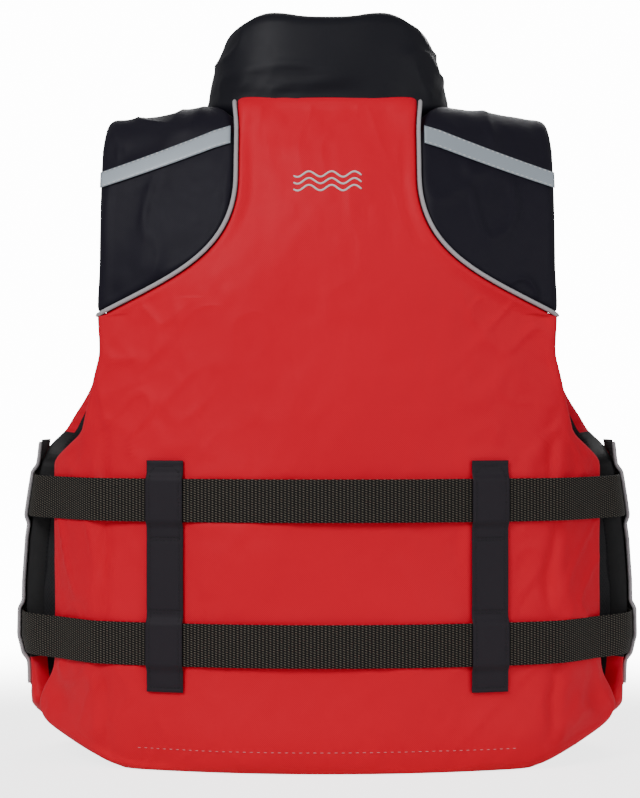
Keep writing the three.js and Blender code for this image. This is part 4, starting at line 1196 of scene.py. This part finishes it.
def pocketMaps(side, mirrored):
    shape = pocketShape
    wide, high = shape["width"], shape["height"]

    def mapping(x, z, w):
        toEdge = np.minimum(x, wide - x)
        roll = rolledBoth(toEdge / 10, z / 12, 9.5)
        soft = 1.0 * noise(x / 24, z / 22, 141) * smooth(toEdge, 2, 14)
        corner = (smooth(12 - x, 0, 12) + smooth(12 - (wide - x), 0, 12)) * smooth(12 - z, 0, 12)
        inwards = np.where(x < wide / 2, 1, -1) * corner * 2.4
        outer = shape["deep"] - 1.2 + soft - roll * 0.9
        out = np.where(w < 0.5, outer, 0.6)
        return fittingsPoint(shape["in"] + x + inwards, out, shape["low"] + z + corner * 2)

    bm = gridSlab(stops(wide, 3, 12), stops(high, 3, 10))
    mapSlab(bm, mapping, lambda x, z: np.stack([x, z], 1), mirrored)
    bag = newPiece(f"pocketBag_{side}", bm, redNylon)
    put(bag, "jacket", [f"pocket_{side}"])

    flapTop = shape["low"] + high + 0.4

    # r runs out from the hinge over the pocket and down its outside.
    def flapMapping(x, r, w):
        turnStart, radius = 18.0, 3.4
        arc = np.clip((r - turnStart) / radius, 0, math.pi / 2)
        below = np.maximum(0, r - turnStart - radius * math.pi / 2)
        out = np.minimum(r, turnStart) + 1 + radius * np.sin(arc)
        up = flapTop + 1.6 - radius * (1 - np.cos(arc)) - below
        nOut, nUp = np.sin(arc), np.cos(arc)
        thick = (0.5 - w) * 1.5 - 0.75
        ripple = 0.5 * noise(x / 18, r / 14, 151) * smooth(r, 10, 30)
        return fittingsPoint(shape["in"] + x, out + nOut * (thick + ripple * 0.5), up + nUp * thick)

    bm = gridSlab(np.linspace(-1, wide + 1, 44), np.linspace(0, 18 + 5.3 + 16, 34))
    mapSlab(bm, flapMapping, lambda x, r: np.stack([x, r], 1), mirrored)
    flap = newPiece(f"pocketFlap_{side}", bm, redNylon)
    put(flap, f"flap_{side}", [f"pocket_flap_{side}"])


pocketMaps("right", False)
pocketMaps("left", True)
print("pockets made")

# Hard pieces keep the CAD shape, with their edges eased.
finishes = {
    "buckle_housing": buckleBlack, "buckle_tongue": buckleBlack, "buckle_arm": buckleBlack,
    "zip_box": buckleBlack, "zip_slider": zipMetal, "zip_pull": zipMetal,
}
for name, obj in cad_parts.items():
    for word, finish in finishes.items():
        if word in name:
            for holder in obj.material_slots:
                holder.material = finish
            weld = obj.modifiers.new("weld", "WELD")
            weld.merge_threshold = 0.00002
            bevel = obj.modifiers.new("bevel", "BEVEL")
            bevel.width = 0.0005 if "zip" not in word else 0.0003
            bevel.segments = 2
            bevel.limit_method = "ANGLE"
            bevel.angle_limit = 35 * degree
            bevel.harden_normals = False

# Stage, light and camera.
stageShape = {
    "floor": 1.3, "fadeFrom": 0.42, "fadeTo": 1.15, "floorGlow": 3.0, "backdrop": 14.0, "skyLight": 0.3,
    "cameraFar": 2.1, "lens": 108.7, "eye": 0.330, "aside": -0.0066,
}
bm = bmesh.new()
bmesh.ops.create_grid(bm, x_segments=1, y_segments=1, size=stageShape["floor"])
floorMaterial = bpy.data.materials.new("paper")
floorMaterial.use_nodes = True
paper = floorMaterial.node_tree.nodes["Principled BSDF"]
paper.inputs["Base Color"].default_value = (0.9, 0.9, 0.9, 1)
paper.inputs["Roughness"].default_value = 0.9
paper.inputs["Emission Color"].default_value = (1, 1, 1, 1)
paperTree = floorMaterial.node_tree
eye = paperTree.nodes.new("ShaderNodeLightPath")
glow = maths(paperTree, "MULTIPLY", eye.outputs["Is Camera Ray"], stageShape["floorGlow"])
paperTree.links.new(glow, paper.inputs["Emission Strength"])
paperPlace = paperTree.nodes.new("ShaderNodeTexCoord")
distance = paperTree.nodes.new("ShaderNodeVectorMath")
distance.operation = "LENGTH"
paperTree.links.new(paperPlace.outputs["Object"], distance.inputs[0])
fade = paperTree.nodes.new("ShaderNodeMapRange")
fade.interpolation_type = "SMOOTHSTEP"
fade.inputs["From Min"].default_value = stageShape["fadeFrom"]
fade.inputs["From Max"].default_value = stageShape["fadeTo"]
fade.inputs["To Min"].default_value = 1
fade.inputs["To Max"].default_value = 0
paperTree.links.new(distance.outputs["Value"], fade.inputs["Value"])
paperTree.links.new(fade.outputs["Result"], paper.inputs["Alpha"])
floor = newPiece("floor", bm, floorMaterial, False)
floor.location.z = -0.0005

world = bpy.data.worlds.new("studio")
bpy.context.scene.world = world
world.use_nodes = True
skyTree = world.node_tree
sky = skyTree.nodes["Background"]
sky.inputs["Color"].default_value = (1, 1, 1, 1)
seen = skyTree.nodes.new("ShaderNodeLightPath")
strength = maths(
    skyTree, "MULTIPLY_ADD", seen.outputs["Is Camera Ray"], stageShape["backdrop"], stageShape["skyLight"]
)
skyTree.links.new(strength, sky.inputs["Strength"])


def lamp(name, place, aim, size, power):
    light = bpy.data.lights.new(name, "AREA")
    light.shape = "RECTANGLE"
    light.size, light.size_y = size
    light.energy = power
    obj = bpy.data.objects.new(name, light)
    obj.location = place
    obj.rotation_euler = (Vector(aim) - Vector(place)).to_track_quat("-Z", "Y").to_euler()
    bpy.context.scene.collection.objects.link(obj)


lamp("keyLight", (-1.3, -2.2, 1.9), (0, 0, 0.35), (1.1, 1.1), 44)
lamp("fillLight", (1.9, -1.8, 0.9), (0, 0, 0.3), (1.6, 1.6), 14)
lamp("rimLight", (0.4, 2.2, 1.8), (0, 0, 0.4), (1.8, 1.2), 26)

cameraData = bpy.data.cameras.new("camera")
cameraData.lens = stageShape["lens"]
cameraData.sensor_width = 36
camera = bpy.data.objects.new("camera", cameraData)
camera.location = (stageShape["aside"], backY * mm - stageShape["cameraFar"], stageShape["eye"])
camera.rotation_euler = (math.pi / 2, 0, 0)
bpy.context.scene.collection.objects.link(camera)
bpy.context.scene.camera = camera
